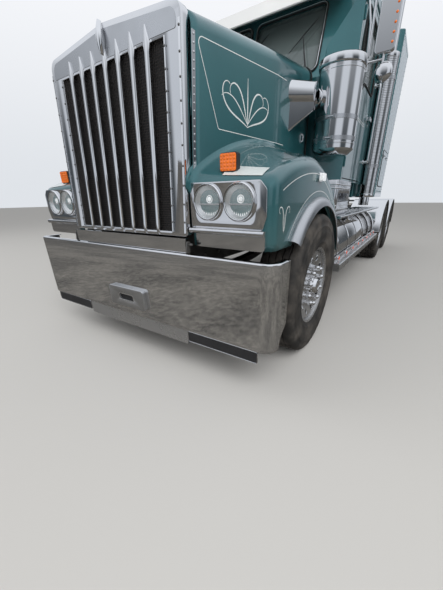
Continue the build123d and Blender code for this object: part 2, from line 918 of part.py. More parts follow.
tilt = radians(rake)
face_plane = Plane(
    origin=(0, at(nose(bar_low) + bar_depth), bar_low), x_dir=(1, 0, 0), z_dir=(0, -cos(tilt), sin(tilt))
)
bar_length = (bar_high - bar_low) / cos(tilt)
with BuildPart() as grille_bars:
    for i in range(bar_count):
        bar_x = (i - (bar_count - 1) / 2) * bar_pitch
        with BuildSketch(face_plane):
            with BuildLine():
                Polyline(
                    (bar_x, 0),
                    (bar_x + bar_half, 45),
                    (bar_x + bar_half, bar_length - 110),
                    (bar_x + spear_half, bar_length - 75),
                    (bar_x, bar_length),
                    (bar_x - spear_half, bar_length - 75),
                    (bar_x - bar_half, bar_length - 110),
                    (bar_x - bar_half, 45),
                    close=True,
                )
            make_face()
    extrude(amount=bar_depth)
save(grille_bars, "grille_bars")

# Lamp bezels with the shelf and lower strip
bezel_front = fender_front - bezel_wall
with BuildPart() as headlamp_panels:
    with BuildSketch(across(fender_front)):
        with BuildLine():
            Polyline(
                (fender_inner, bezel_low),
                (bezel_end - 21, bezel_low),
                (bezel_end, bezel_low + 70),
                (bezel_end - 4, bezel_high - 55),
                (bezel_end - 42, bezel_high - 15),
                (fender_inner, bezel_high - 15),
                close=True,
            )
        make_face()
        with Locations(*[(lamp_x, lamp_z) for lamp_x in lamp_xs]):
            Circle(lamp_radius, mode=Mode.SUBTRACT)
    extrude(amount=bezel_wall)
    block((fender_inner, bezel_end), (fender_front - 44, fender_front), (shelf_low, bezel_low))
    block((strip_start, bezel_end), (fender_front - 20, fender_front), (fender_front_low, shelf_low))
    mirror(about=Plane.YZ)
save(headlamp_panels, "headlamp_panels")

lens_radius = lamp_radius - 4
lens_bulge = 18
lens_sphere = (lens_radius**2 + lens_bulge**2) / (2 * lens_bulge)
lens_foot = -bezel_wall - 16
lens_top = lens_foot - lens_bulge
lens_mid = lens_top + lens_sphere - sqrt(lens_sphere**2 - (lens_radius / 2) ** 2)
with BuildPart() as headlamps:
    for lamp_x in lamp_xs:
        with BuildSketch(Plane(origin=(lamp_x, at(fender_front), lamp_z), x_dir=(1, 0, 0), z_dir=(0, 0, 1))):
            with BuildLine():
                Polyline(
                    (0, 0),
                    (lamp_radius, 0),
                    (lamp_radius, -bezel_wall),
                    (lamp_rim, -bezel_wall),
                    (lamp_rim, -bezel_wall - 12),
                    (lens_radius, lens_foot),
                )
                ThreePointArc((lens_radius, lens_foot), (lens_radius / 2, lens_mid), (0, lens_top))
                Line((0, lens_top), (0, 0))
            make_face()
        revolve(axis=Axis((lamp_x, at(fender_front), lamp_z), (0, 1, 0)))
    mirror(about=Plane.YZ)
save(headlamps, "headlamps")

with BuildPart() as turn_signals:
    block((signal_x, signal_x + signal_width), (signal_y, signal_y + 45), (signal_low - 60, signal_high))
    add(fender_block.part, mode=Mode.SUBTRACT)
    mirror(about=Plane.YZ)
save(turn_signals, "turn_signals")

# Cab outline in side view and plan
cab_side = [
    (cab_front, cab_low),
    (cab_front, screen_low[1] - 20),
    screen_low,
    screen_high,
    roof_front,
    (cab_rear, roof_rear_z),
    (cab_rear, cab_low),
]


def cab_body(inset):
    with BuildPart(mode=Mode.PRIVATE) as body:
        with BuildSketch(side(-cab_half)):
            with BuildLine():
                Polyline(*cab_side, close=True)
            make_face()
            if inset:
                offset(amount=-inset, kind=Kind.INTERSECTION, mode=Mode.REPLACE)
        extrude(amount=2 * cab_half)
        with BuildSketch(level(0)):
            with BuildLine():
                Polyline(
                    (-cowl_half, cab_front),
                    (cowl_half, cab_front),
                    (cowl_half, cab_front + 130),
                    (cab_half, door_front - 40),
                    (cab_half, cab_rear),
                    (-cab_half, cab_rear),
                    (-cab_half, door_front - 40),
                    (-cowl_half, cab_front + 130),
                    close=True,
                )
            make_face()
            if inset:
                offset(amount=-inset, kind=Kind.INTERSECTION, mode=Mode.REPLACE)
        extrude(amount=roof_rear_z + 200, mode=Mode.INTERSECT)
    return body.part


screen_run = screen_high[0] - screen_low[0]
screen_rise = screen_high[1] - screen_low[1]
screen_length = sqrt(screen_run**2 + screen_rise**2)
screen_plane = Plane(
    origin=(0, at(screen_low[0] + screen_run / 2), screen_low[1] + screen_rise / 2),
    x_dir=(1, 0, 0),
    z_dir=(0, -screen_rise / screen_length, screen_run / screen_length),
)
screen_height = screen_length - 110
screen_width = cowl_half - 60 - screen_post / 2
screen_mid = screen_post / 2 + screen_width / 2

window_points = [(2075, 2090), (2250, 2090), (2400, 2190), (2885, 2190), (2885, 2670), (2140, 2670), (2075, 2420)]
with BuildPart() as cab_shell:
    add(cab_body(0))
    add(cab_body(cab_wall), mode=Mode.SUBTRACT)
    with BuildSketch(screen_plane):
        with Locations((-screen_mid, 0), (screen_mid, 0)):
            RectangleRounded(screen_width, screen_height, 50)
    extrude(amount=120, both=True, mode=Mode.SUBTRACT)
    block((-cab_half, cab_half), (door_front, door_rear), (door_low, door_high), Mode.SUBTRACT)
    block((-cab_half, cab_half), (cab_rear - cab_wall, cab_rear), (cab_low, roof_split), Mode.SUBTRACT)
    block((-cab_half, cab_half), (cab_front, cab_rear), (roof_split, roof_rear_z + 100), Mode.SUBTRACT)
save(cab_shell, "cab_shell")

# Back wall with the way through to the sleeper
with BuildPart() as cab_back:
    block((-cab_half, cab_half), (cab_rear - cab_wall, cab_rear), (cab_low, roof_split))
    block((-passage_half, passage_half), (cab_rear - cab_wall, cab_rear), (passage_low, passage_high), Mode.SUBTRACT)
save(cab_back, "cab_back")

with BuildPart() as cab_roof:
    add(cab_body(0))
    add(cab_body(cab_wall), mode=Mode.SUBTRACT)
    block((-cab_half, cab_half), (cab_front, cab_rear), (0, roof_split), Mode.SUBTRACT)
save(cab_roof, "cab_roof")

with BuildPart() as windscreen:
    with BuildSketch(screen_plane.offset(-30)):
        with Locations((-screen_mid, 0), (screen_mid, 0)):
            RectangleRounded(screen_width, screen_height, 50)
    extrude(amount=screen_glass)
save(windscreen, "windscreen")

visor_wall = 12
with BuildPart() as sun_visor:
    with BuildSketch(side(-880)):
        with BuildLine():
            Polyline(
                (roof_front[0], roof_front[1]),
                (screen_high[0], screen_high[1]),
                (1720, 2630),
                (1712, 2640),
                (1900, 2830),
                close=True,
            )
        make_face()
    extrude(amount=1760)
save(sun_visor, "sun_visor")

sleeper_half_plan = [
    (sleeper_neck, cab_rear),
    (sleeper_neck, neck_rear),
    (sleeper_half, neck_flare),
    (sleeper_half, sleeper_rear),
]
sleeper_plan = sleeper_half_plan + [(-x, y) for x, y in reversed(sleeper_half_plan)]
with BuildPart() as sleeper:
    with BuildSketch(level(sleeper_low)):
        with BuildLine():
            Polyline(*sleeper_plan, close=True)
        make_face()
    extrude(amount=sleeper_high - sleeper_low)
    with BuildSketch(level(sleeper_low + cab_wall)):
        with BuildLine():
            Polyline(*sleeper_plan, close=True)
        make_face()
        offset(amount=-cab_wall, kind=Kind.INTERSECTION, mode=Mode.REPLACE)
    extrude(amount=sleeper_high - sleeper_low - 2 * cab_wall, mode=Mode.SUBTRACT)
    block((-passage_half, passage_half), (cab_rear, cab_rear + cab_wall), (passage_low, passage_high), Mode.SUBTRACT)
save(sleeper, "sleeper")

# Doors with a dipped window, hinged at the front edge
for end, name in [(1, "left"), (-1, "right")]:
    with BuildPart() as door:
        with BuildSketch(side(cab_half - cab_wall)):
            with Locations(((door_front + door_rear) / 2, (door_low + door_high) / 2)):
                Rectangle(door_rear - door_front - 2 * seam, door_high - door_low - 2 * seam)
            with BuildLine():
                Polyline(*window_points, close=True)
            make_face(mode=Mode.SUBTRACT)
        extrude(amount=cab_wall)
        block((cab_half, cab_half + 30), (door_rear - 137, door_rear - 47), (1960, 1990))
        for hinge_height in door_hinge_zs:
            with Locations((door_hinge_x, at(door_hinge_y), hinge_height)):
                Cylinder(door_hinge_radius, door_hinge_long)
        if end < 0:
            mirror(about=Plane.YZ, mode=Mode.REPLACE)
    save(door, "door_" + name)

    with BuildPart() as door_glass:
        with BuildSketch(side(cab_half - 30)):
            with BuildLine():
                Polyline(*window_points, close=True)
            make_face()
        extrude(amount=screen_glass)
        if end < 0:
            mirror(about=Plane.YZ, mode=Mode.REPLACE)
    save(door_glass, "door_glass_" + name)

    with BuildPart() as mirror_head:
        near, far = cab_half + mirror_gap, cab_half + mirror_gap + mirror_width
        mast = (near + far) / 2
        block((near, far), (mirror_y - 28, mirror_y + 28), (mirror_low, mirror_high))
        fillet(mirror_head.edges().filter_by(Axis.Z), 20)
        for arm_z in (mirror_low - 35, mirror_high - 35):
            block((cab_half, mast), (mirror_y - arm_half, mirror_y + arm_half), (arm_z - arm_half, arm_z + arm_half))
        block((mast - arm_half, mast + arm_half), (mirror_y - arm_half, mirror_y + arm_half), (round_mirror_z - 40, mirror_low + 10))
        with Locations((mast + 15, at(mirror_y), round_mirror_z)):
            Cylinder(round_mirror_radius, 40, rotation=(90, 0, 0))
        if end < 0:
            mirror(about=Plane.YZ, mode=Mode.REPLACE)
    save(mirror_head, "mirror_" + name)

# Cab fittings
cab_floor = cab_low + cab_wall
wheel_x = -450
with BuildPart() as dashboard:
    block((-640, 640), (cab_front + cab_wall, 1980), (1750, 2050))
    fillet(dashboard.edges().filter_by(Axis.X).group_by(Axis.Y)[-1], 40)
    wheel_plane = Plane(origin=(wheel_x, at(2190), 2000), x_dir=(1, 0, 0), z_dir=(0, 0.5, 0.866))
    with BuildSketch(wheel_plane):
        Circle(230)
        Circle(200, mode=Mode.SUBTRACT)
        Rectangle(430, 40)
        Circle(50)
    extrude(amount=25)
    with BuildSketch(wheel_plane):
        Circle(30)
    extrude(amount=-330)
save(dashboard, "dashboard")

with BuildPart() as seats:
    for seat_x in (-480, 480):
        block((seat_x - 200, seat_x + 200), (2420, 2820), (cab_floor, 1640))
        block((seat_x - 260, seat_x + 260), (2370, 2890), (1640, 1770))
        block((seat_x - 250, seat_x + 250), (2780, 2920), (1770, 2440))
    bunk_floor = sleeper_low + cab_wall
    block((-sleeper_half + 60, sleeper_half - 60), (neck_flare + 60, sleeper_rear - 60), (bunk_floor, 1900))
save(seats, "seats")

# Air cleaners beside the cowl; their intake ducts ride on the hood's sides
with BuildPart() as air_cleaners:
    with BuildSketch(Plane(origin=(cleaner_x, at(cleaner_y), 0), x_dir=(1, 0, 0), z_dir=(0, -1, 0))):
        with BuildLine():
            Polyline(
                (0, cleaner_low),
                (130, cleaner_low),
                (cleaner_radius, cleaner_low + 45),
                (cleaner_radius, cleaner_high - 70),
                (cleaner_cap, cleaner_high - 70),
                (cleaner_cap, cleaner_high - 20),
                (cleaner_cap - 25, cleaner_high),
                (0, cleaner_high),
                close=True,
            )
        make_face()
    revolve(axis=Axis((cleaner_x, at(cleaner_y), 0), (0, 0, 1)))
    for band_z in (1650, 2000):
        block((cowl_half, cleaner_x), (cleaner_y + 80, cleaner_y + 110), (band_z, band_z + 40))
    mirror(about=Plane.YZ)
save(air_cleaners, "air_cleaners")

duct_in = hood_stations[0][1]
duct_out = hood_stations[-1][1] + 120
duct_gap = 6
duct_mouth_y = 1180
duct_throat_y = 1450
duct_top = 1985
duct_drop = 345
pipe_radius = 60
pipe_z = duct_top - pipe_radius - 20
pipe_long = 150
with BuildPart() as intake_ducts:
    with BuildSketch(side(duct_in)):
        with BuildLine():
            Polyline(
                (duct_mouth_y, duct_top),
                (duct_mouth_y, duct_top - duct_drop),
                (duct_mouth_y + 50, duct_top - duct_drop),
                (duct_throat_y, duct_top - 2 * pipe_radius - 40),
                (duct_throat_y, duct_top),
                close=True,
            )
        make_face()
    extrude(amount=duct_out - duct_in)
    fillet(intake_ducts.edges().filter_by(Axis.Y).group_by(Axis.Z)[-1], 50)
    with BuildSketch(across(duct_throat_y + pipe_long, pipe_z)):
        with Locations((duct_out - 42, 0)):
            Circle(pipe_radius)
    extrude(amount=pipe_long)
    with Locations((cleaner_x, at(cleaner_y), pipe_z)):
        Cylinder(cleaner_radius + duct_gap, 400, mode=Mode.SUBTRACT)
    add(hood_outer.part, mode=Mode.SUBTRACT)
    mirror(about=Plane.YZ)
save(intake_ducts, "intake_ducts")

with BuildPart() as exhaust_stacks:
    with Locations((stack_x, at(stack_y), stack_guard_low)):
        Cylinder(stack_guard, stack_guard_high - stack_guard_low, align=(Align.CENTER, Align.CENTER, Align.MIN))
    with Locations((stack_x, at(stack_y), stack_guard_low - 100)):
        Cylinder(stack_pipe, stack_high - stack_guard_low + 100, align=(Align.CENTER, Align.CENTER, Align.MIN))
    for clamp_z in (1500, 2400):
        block((sleeper_neck, stack_x), (stack_y - 20, stack_y + 20), (clamp_z, clamp_z + 40))
    mirror(about=Plane.YZ)
save(exhaust_stacks, "exhaust_stacks")
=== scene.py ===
# Dresses a long-nose tractor unit: paint, polished steel, glass, rubber and the small parts.
# Metres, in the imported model's frame: +X truck's left, -Y forward, +Z up.
from math import acos, asin, atan2, copysign, cos, hypot, pi, radians, sin, sqrt, tan

import bmesh
import bpy
from mathutils import Matrix, Vector


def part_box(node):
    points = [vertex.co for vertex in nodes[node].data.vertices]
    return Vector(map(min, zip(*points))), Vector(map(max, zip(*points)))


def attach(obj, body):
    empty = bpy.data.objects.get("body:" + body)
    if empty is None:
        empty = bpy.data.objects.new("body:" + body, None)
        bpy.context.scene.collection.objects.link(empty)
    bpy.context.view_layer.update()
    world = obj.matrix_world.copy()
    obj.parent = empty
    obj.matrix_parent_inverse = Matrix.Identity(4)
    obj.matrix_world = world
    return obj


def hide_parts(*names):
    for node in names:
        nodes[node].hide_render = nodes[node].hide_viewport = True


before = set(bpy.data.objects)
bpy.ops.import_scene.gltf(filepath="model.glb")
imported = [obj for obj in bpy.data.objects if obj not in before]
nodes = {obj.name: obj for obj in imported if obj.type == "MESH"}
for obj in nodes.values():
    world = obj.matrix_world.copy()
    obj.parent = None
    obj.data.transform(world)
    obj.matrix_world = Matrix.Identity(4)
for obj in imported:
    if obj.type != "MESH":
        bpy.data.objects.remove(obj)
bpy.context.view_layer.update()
scene = bpy.context.scene
print("frame loaded")

# camera, matched to the photograph
cameraSetup = {
    "place": (1.7206, -4.7914, 1.1587),
    "yaw": 33.35,
    "pitch": -24.22,
    "roll": -0.70,
    "lens": 16.34,
    "shift": (-0.0137, 0.0400),
}


def makeCamera(setup):
    camera = bpy.data.cameras.new("camera")
    camera.lens = setup["lens"]
    camera.sensor_width = 36
    camera.shift_x, camera.shift_y = setup["shift"]
    camera.clip_end = 200
    holder = bpy.data.objects.new("camera", camera)
    scene.collection.objects.link(holder)
    yaw, pitch, roll = (radians(setup[key]) for key in ("yaw", "pitch", "roll"))
    turn = Matrix.Identity(4)
    for angle, axis in ((yaw, "Z"), (pi / 2 + pitch, "X"), (roll, "Z")):
        turn = turn @ Matrix.Rotation(angle, 4, axis)
    holder.matrix_world = Matrix.Translation(setup["place"]) @ turn
    scene.camera = holder


makeCamera(cameraSetup)
scene.view_settings.view_transform = "Standard"

# studio
studio = {
    "floor": (0.60, 0.59, 0.57, 1),
    "floorSize": 60,
    "skyLow": (0.74, 0.77, 0.81, 1),
    "skyHigh": (0.96, 0.97, 1.0, 1),
    # what polished metal reflects: dark and pale sectors low down, and dark rough ground
    "sectorDark": (0.07, 0.08, 0.09, 1),
    "sectorPale": (0.58, 0.62, 0.68, 1),
    "reflectHigh": (0.80, 0.84, 0.90, 1),
    "sectors": 5,
    "groundDark": (0.040, 0.037, 0.032, 1),
    "groundPale": (0.215, 0.200, 0.175, 1),
    "worldLight": 0.50,
    "lampPower": 1150,
    "lampSize": 9,
    "lampPlace": (7.5, -9.0, 9.5),
    "fillPower": 260,
    "fillPlace": (-8.0, -7.0, 7.0),
}


class Wire:  # a node socket that takes arithmetic
    def __init__(self, desk, socket):
        self.desk, self.socket = desk, socket

    def maths(self, operation, first, second=0.0):
        return self.desk.node("ShaderNodeMath", {"operation": operation}, {0: first, 1: second})

    def __add__(self, other):
        return self.maths("ADD", self, other)

    def __sub__(self, other):
        return self.maths("SUBTRACT", self, other)

    def __mul__(self, other):
        return self.maths("MULTIPLY", self, other)

    def __truediv__(self, other):
        return self.maths("DIVIDE", self, other)

    def __mod__(self, other):
        return self.maths("FLOORED_MODULO", self, other)

    def __rsub__(self, other):
        return self.maths("SUBTRACT", other, self)

    def floor(self):
        return self.maths("FLOOR", self)

    def sine(self):
        return self.maths("SINE", self)

    def cosine(self):
        return self.maths("COSINE", self)

    __radd__ = __add__
    __rmul__ = __mul__


class Desk:  # what shader and geometry trees share
    def node(self, kind, settings=None, inputs=None, out=0):
        made = self.tree.nodes.new(kind)
        for key, value in (settings or {}).items():
            setattr(made, key, value)
        for key, value in (inputs or {}).items():
            socket = made.inputs[key]
            if isinstance(value, Wire):
                self.tree.links.new(value.socket, socket)
            else:
                socket.default_value = value
        return Wire(self, made.outputs[out])

    def scaled(self, vector, amount):
        return self.node("ShaderNodeVectorMath", {"operation": "SCALE"}, {0: vector, "Scale": amount})

    def summed(self, first, second):
        return self.node("ShaderNodeVectorMath", {"operation": "ADD"}, {0: first, 1: second})

    def part(self, vector, axis):
        return self.node("ShaderNodeSeparateXYZ", inputs={0: vector}, out=axis)


class Board(Desk):  # one material's node tree
    def __init__(self, name, holder=None):
        self.material = holder or bpy.data.materials.new(name)
        self.material.use_nodes = True
        self.tree = self.material.node_tree
        self.tree.nodes.clear()
        self.out = self.tree.nodes.new("ShaderNodeOutputWorld" if holder else "ShaderNodeOutputMaterial")

    def place(self):
        return self.node("ShaderNodeTexCoord", out=3)

    def noise(self, scale, detail=3, stretch=None, rough=0.5):
        spot = self.place()
        if stretch:
            spot = self.node("ShaderNodeVectorMath", {"operation": "MULTIPLY"}, {0: spot, 1: stretch})
        return self.node(
            "ShaderNodeTexNoise", inputs={"Vector": spot, "Scale": scale, "Detail": detail,
                "Roughness": rough}
        )

    def band(self, value, low, high, floor=0.0, top=1.0):
        return self.node(
            "ShaderNodeMapRange",
            {"interpolation_type": "SMOOTHSTEP"},
            {0: value, 1: low, 2: high, 3: floor, 4: top},
        )

    def mix(self, mask, first, second):
        made = self.tree.nodes.new("ShaderNodeMix")
        made.data_type = "RGBA"
        for socket, value in ((made.inputs[0], mask), (made.inputs[6], first), (made.inputs[7], second)):
            if isinstance(value, Wire):
                self.tree.links.new(value.socket, socket)
            elif socket.type == "RGBA":
                socket.default_value = value if len(value) == 4 else (*value, 1)
            else:
                socket.default_value = value
        return Wire(self, made.outputs[2])

    def bump(self, height, strength, distance=0.001):
        return self.node(
            "ShaderNodeBump", inputs={"Strength": strength, "Distance": distance, "Height": height}
        )

    def surface(self, inputs):
        done = self.node("ShaderNodeBsdfPrincipled", inputs=inputs)
        self.tree.links.new(done.socket, self.out.inputs[0])
        return self.material


def rgb(red, green, blue):
    return (red, green, blue, 1)


def dustMask(board, low, high):
    height = board.part(board.place(), 2)
    patch = board.noise(5, 6, rough=0.6)
    return board.band(height + (patch - 0.5) * 0.5, high, low)


# each paint: colour, darker patch colour, dust reach in metres above the ground
paints = {
    "teal": {"colour": rgb(0.030, 0.135, 0.150), "deep": rgb(0.020, 0.100, 0.115), "dust": (0.2, 1.3),
        "much": 0.22},
    "white": {"colour": rgb(0.80, 0.80, 0.78), "deep": rgb(0.72, 0.72, 0.70), "dust": (0.2, 1.3),
        "much": 0.1},
    "stripe": {"colour": rgb(0.74, 0.78, 0.78), "deep": rgb(0.66, 0.70, 0.70), "dust": (0.2, 1.3),
        "much": 0.1},
    "chassis": {"colour": rgb(0.035, 0.036, 0.038), "deep": rgb(0.02, 0.02, 0.02), "dust": (0.2, 1.2),
        "much": 0.5},
}


def makePaint(name, setup, flake):
    board = Board(name)
    cloud = board.noise(1.4, 2)
    speck = board.noise(2600, 1)
    colour = board.mix(board.band(cloud, 0.35, 0.65), setup["colour"], setup["deep"])
    if flake:
        bright = tuple(min(1, 3.0 * c) for c in setup["colour"][:3])
        colour = board.mix(board.band(speck, 0.62, 0.75) * flake, colour, bright)
    dust = dustMask(board, *setup["dust"]) * setup["much"]
    colour = board.mix(dust, colour, rgb(0.30, 0.28, 0.25))
    return board.surface({
        "Base Color": colour,
        "Roughness": 0.32 + dust * 0.5,
        "Metallic": 0.35 if flake else 0.0,
        "Coat Weight": 1.0 - dust * 0.8 if flake else 0.6,
        "Coat Roughness": 0.03,
        "Normal": board.bump(board.noise(9, 2), 0.05, 0.0006),
    })


# each metal: colour, roughness range, lines (stretch of the brushing), dust
metals = {
    "polished": {"colour": rgb(0.80, 0.80, 0.81), "rough": (0.045, 0.13), "grain": None, "dust": 0.10},
    "bright": {"colour": rgb(0.86, 0.86, 0.87), "rough": (0.015, 0.05), "grain": None, "dust": 0.06},
    "alloy": {"colour": rgb(0.66, 0.67, 0.69), "rough": (0.16, 0.32), "grain": (1, 40, 40), "dust": 0.25},
    "satin": {"colour": rgb(0.60, 0.61, 0.63), "rough": (0.26, 0.42), "grain": (40, 1, 40), "dust": 0.2},
    "dull": {"colour": rgb(0.30, 0.29, 0.28), "rough": (0.4, 0.6), "grain": None, "dust": 0.5},
    "bowl": {"colour": rgb(0.92, 0.93, 0.94), "rough": (0.30, 0.40), "grain": None, "dust": 0.0},
    "mirror": {"colour": rgb(0.90, 0.91, 0.92), "rough": (0.01, 0.03), "grain": None, "dust": 0.02},
    "mesh": {"colour": rgb(0.10, 0.088, 0.080), "rough": (0.35, 0.55), "grain": None, "dust": 0.3},
}


def makeMetal(name, setup):
    board = Board(name)
    smear = board.noise(3.5, 5, rough=0.65)
    low, high = setup["rough"]
    rough = board.band(smear, 0.35, 0.75, low, high)
    height = board.noise(2.2, 1)
    if setup["grain"]:
        grain = board.noise(14, 4, stretch=setup["grain"])
        rough = rough + (grain - 0.5) * 0.12
        height = height + grain * 0.4
    dust = dustMask(board, 0.1, 1.0) * setup["dust"]
    spots = board.band(board.noise(130, 2), 0.66, 0.72) * setup["dust"]
    colour = board.mix(dust + spots * 0.6, setup["colour"], rgb(0.36, 0.33, 0.29))
    return board.surface({
        "Base Color": colour,
        "Metallic": 1.0 - dust * 0.8,
        "Roughness": rough + dust * 0.4,
        "Normal": board.bump(height, 0.035, 0.004),
    })


def makeRubber(name, colour, dustColour, much):
    board = Board(name)
    grain = board.noise(400, 3)
    patch = board.noise(7, 5, rough=0.6)
    dust = board.band(patch, 0.35, 0.75) * much
    return board.surface({
        "Base Color": board.mix(dust, colour, dustColour),
        "Roughness": 0.62 + dust * 0.25,
        "Normal": board.bump(grain, 0.15, 0.0006),
    })


def makePlastic(name, colour, rough, grainScale=600):
    board = Board(name)
    grain = board.noise(grainScale, 3)
    tone = board.band(board.noise(6, 3), 0.3, 0.7, 0.88, 1.1)
    shade = board.node("ShaderNodeVectorMath", {"operation": "SCALE"}, {0: colour[:3], "Scale": tone})
    return board.surface({"Base Color": shade, "Roughness": rough, "Normal": board.bump(grain, 0.12, 0.0005)})


def makeGlass(name, colour, alpha, rough=0.03):
    board = Board(name)
    smear = board.noise(4, 4)
    return board.surface({
        "Base Color": colour,
        "Roughness": board.band(smear, 0.3, 0.8, rough, rough + 0.06),
        "Alpha": board.band(smear, 0.3, 0.8, alpha, alpha + 0.06),
        "Coat Weight": 1.0,
        "Coat Roughness": 0.02,
    })


def makeLens(name, colour, glow):
    board = Board(name)
    ridge = board.noise(90, 2)
    deep = board.mix(board.band(ridge, 0.3, 0.7), colour, tuple(c * 0.72 for c in colour[:3]))
    return board.surface({
        "Base Color": deep,
        "Roughness": 0.12,
        "Coat Weight": 0.8,
        "Emission Color": colour,
        "Emission Strength": glow,
        "Normal": board.bump(ridge, 0.1, 0.001),
    })


finishes = {
    name + "Paint": makePaint(name + "Paint", setup, 0.5 if name == "teal" else 0)
    for name, setup in paints.items()
}
finishes.update({name + "Metal": makeMetal(name + "Metal", setup) for name, setup in metals.items()})
finishes["chrome"] = finishes["brightMetal"]
finishes["tyreRubber"] = makeRubber("tyreRubber", rgb(0.022, 0.021, 0.020), rgb(0.13, 0.115, 0.10), 0.65)
finishes["strapRubber"] = makeRubber("strapRubber", rgb(0.012, 0.012, 0.013), rgb(0.08, 0.075, 0.07), 0.35)
finishes["castIron"] = makeRubber("castIron", rgb(0.045, 0.042, 0.04), rgb(0.14, 0.11, 0.085), 0.7)
# the window glass's pale grey-green colour is partly its own tint and partly painted reflection of the pale
# sky that the panes mirror
finishes["windowGlass"] = makeGlass("windowGlass", rgb(0.17, 0.21, 0.21), 0.60)
finishes["lampGlass"] = makeGlass("lampGlass", rgb(0.80, 0.83, 0.85), 0.10)
finishes["amberLens"] = makeLens("amberLens", rgb(0.82, 0.17, 0.010), 0.14)
finishes["redLens"] = makeLens("redLens", rgb(0.75, 0.09, 0.03), 0.2)
finishes["hoodPaint"] = finishes["fenderPaint"] = finishes["tealPaint"]
finishes["lampGlow"] = makeLens("lampGlow", rgb(0.85, 0.88, 0.90), 0.3)
finishes["darkPlastic"] = makePlastic("darkPlastic", rgb(0.025, 0.025, 0.027), 0.55)
finishes["cloth"] = makePlastic("cloth", rgb(0.035, 0.035, 0.04), 0.9, 1500)
print("materials made", len(finishes))

# the slot that each finish belongs to, and a piece may name its own; neither is kept on the piece
finishSlots = {
    "teal_paint": ("tealPaint",),
    "white_paint": ("whitePaint", "stripePaint"),
    "frame_paint": ("chassisPaint",),
    "polished_steel": ("polishedMetal", "brightMetal", "bowlMetal", "mirrorMetal"),
    "satin_alloy": ("alloyMetal", "satinMetal"),
    "cast_part": ("dullMetal", "castIron"),
    "mesh_steel": ("meshMetal",),
    "tyre_rubber": ("tyreRubber",),
    "strap_rubber": ("strapRubber",),
    "lamp_glass": ("lampGlass", "lampGlow"),
    "amber_lens": ("amberLens",),
    "red_lens": ("redLens",),
    "trim_plastic": ("darkPlastic",),
    "seat_fabric": ("cloth",),
}
slotOf = {finish: slot for slot, names in finishSlots.items() for finish in names}

nodeFinish = {
    "tealPaint": [
        "hood_shell", "fenders", "cab_shell", "cab_back", "cab_roof", "sleeper", "door_left", "door_right",
    ],
    "whitePaint": ["sun_visor"],
    "polishedMetal": [
        "bumper", "fuel_tanks", "air_cleaners", "intake_ducts", "exhaust_stacks", "grille_bars",
        "grille_surround", "headlamp_panels", "mirror_left", "mirror_right", "rear_mudguards",
    ],
    "alloyMetal": ["side_steps", "step_boxes"] + [name for name in nodes if name.startswith("rim")],
    "satinMetal": ["fender_flares"],
    "meshMetal": ["grille_mesh"],
    "tyreRubber": [name for name in nodes if name.startswith("tyre")],
    "strapRubber": ["tank_straps"],
    "castIron": [
        "engine", "driveline", "drive_axles", "front_axle", "suspension", "fifth_wheel_base",
        "fifth_wheel_plate", "knuckle_left", "knuckle_right",
    ],
    "dullMetal": ["radiator"],
    "windowGlass": ["windscreen", "door_glass_left", "door_glass_right"],
    "lampGlass": ["headlamps"],
    "amberLens": ["turn_signals"],
    "redLens": ["marker_lamps"],
    "darkPlastic": ["dashboard"],
    "cloth": ["seats"],
    "chassisPaint": ["frame_rails", "cross_members", "tank_brackets", "tail_bar"],
}


def dress(mesh, finish):
    mesh.materials.clear()
    mesh.materials.append(finishes[finish])


finishOf = {name: finish for finish, names in nodeFinish.items() for name in names}
for name, finish in finishOf.items():
    dress(nodes[name].data, finish)


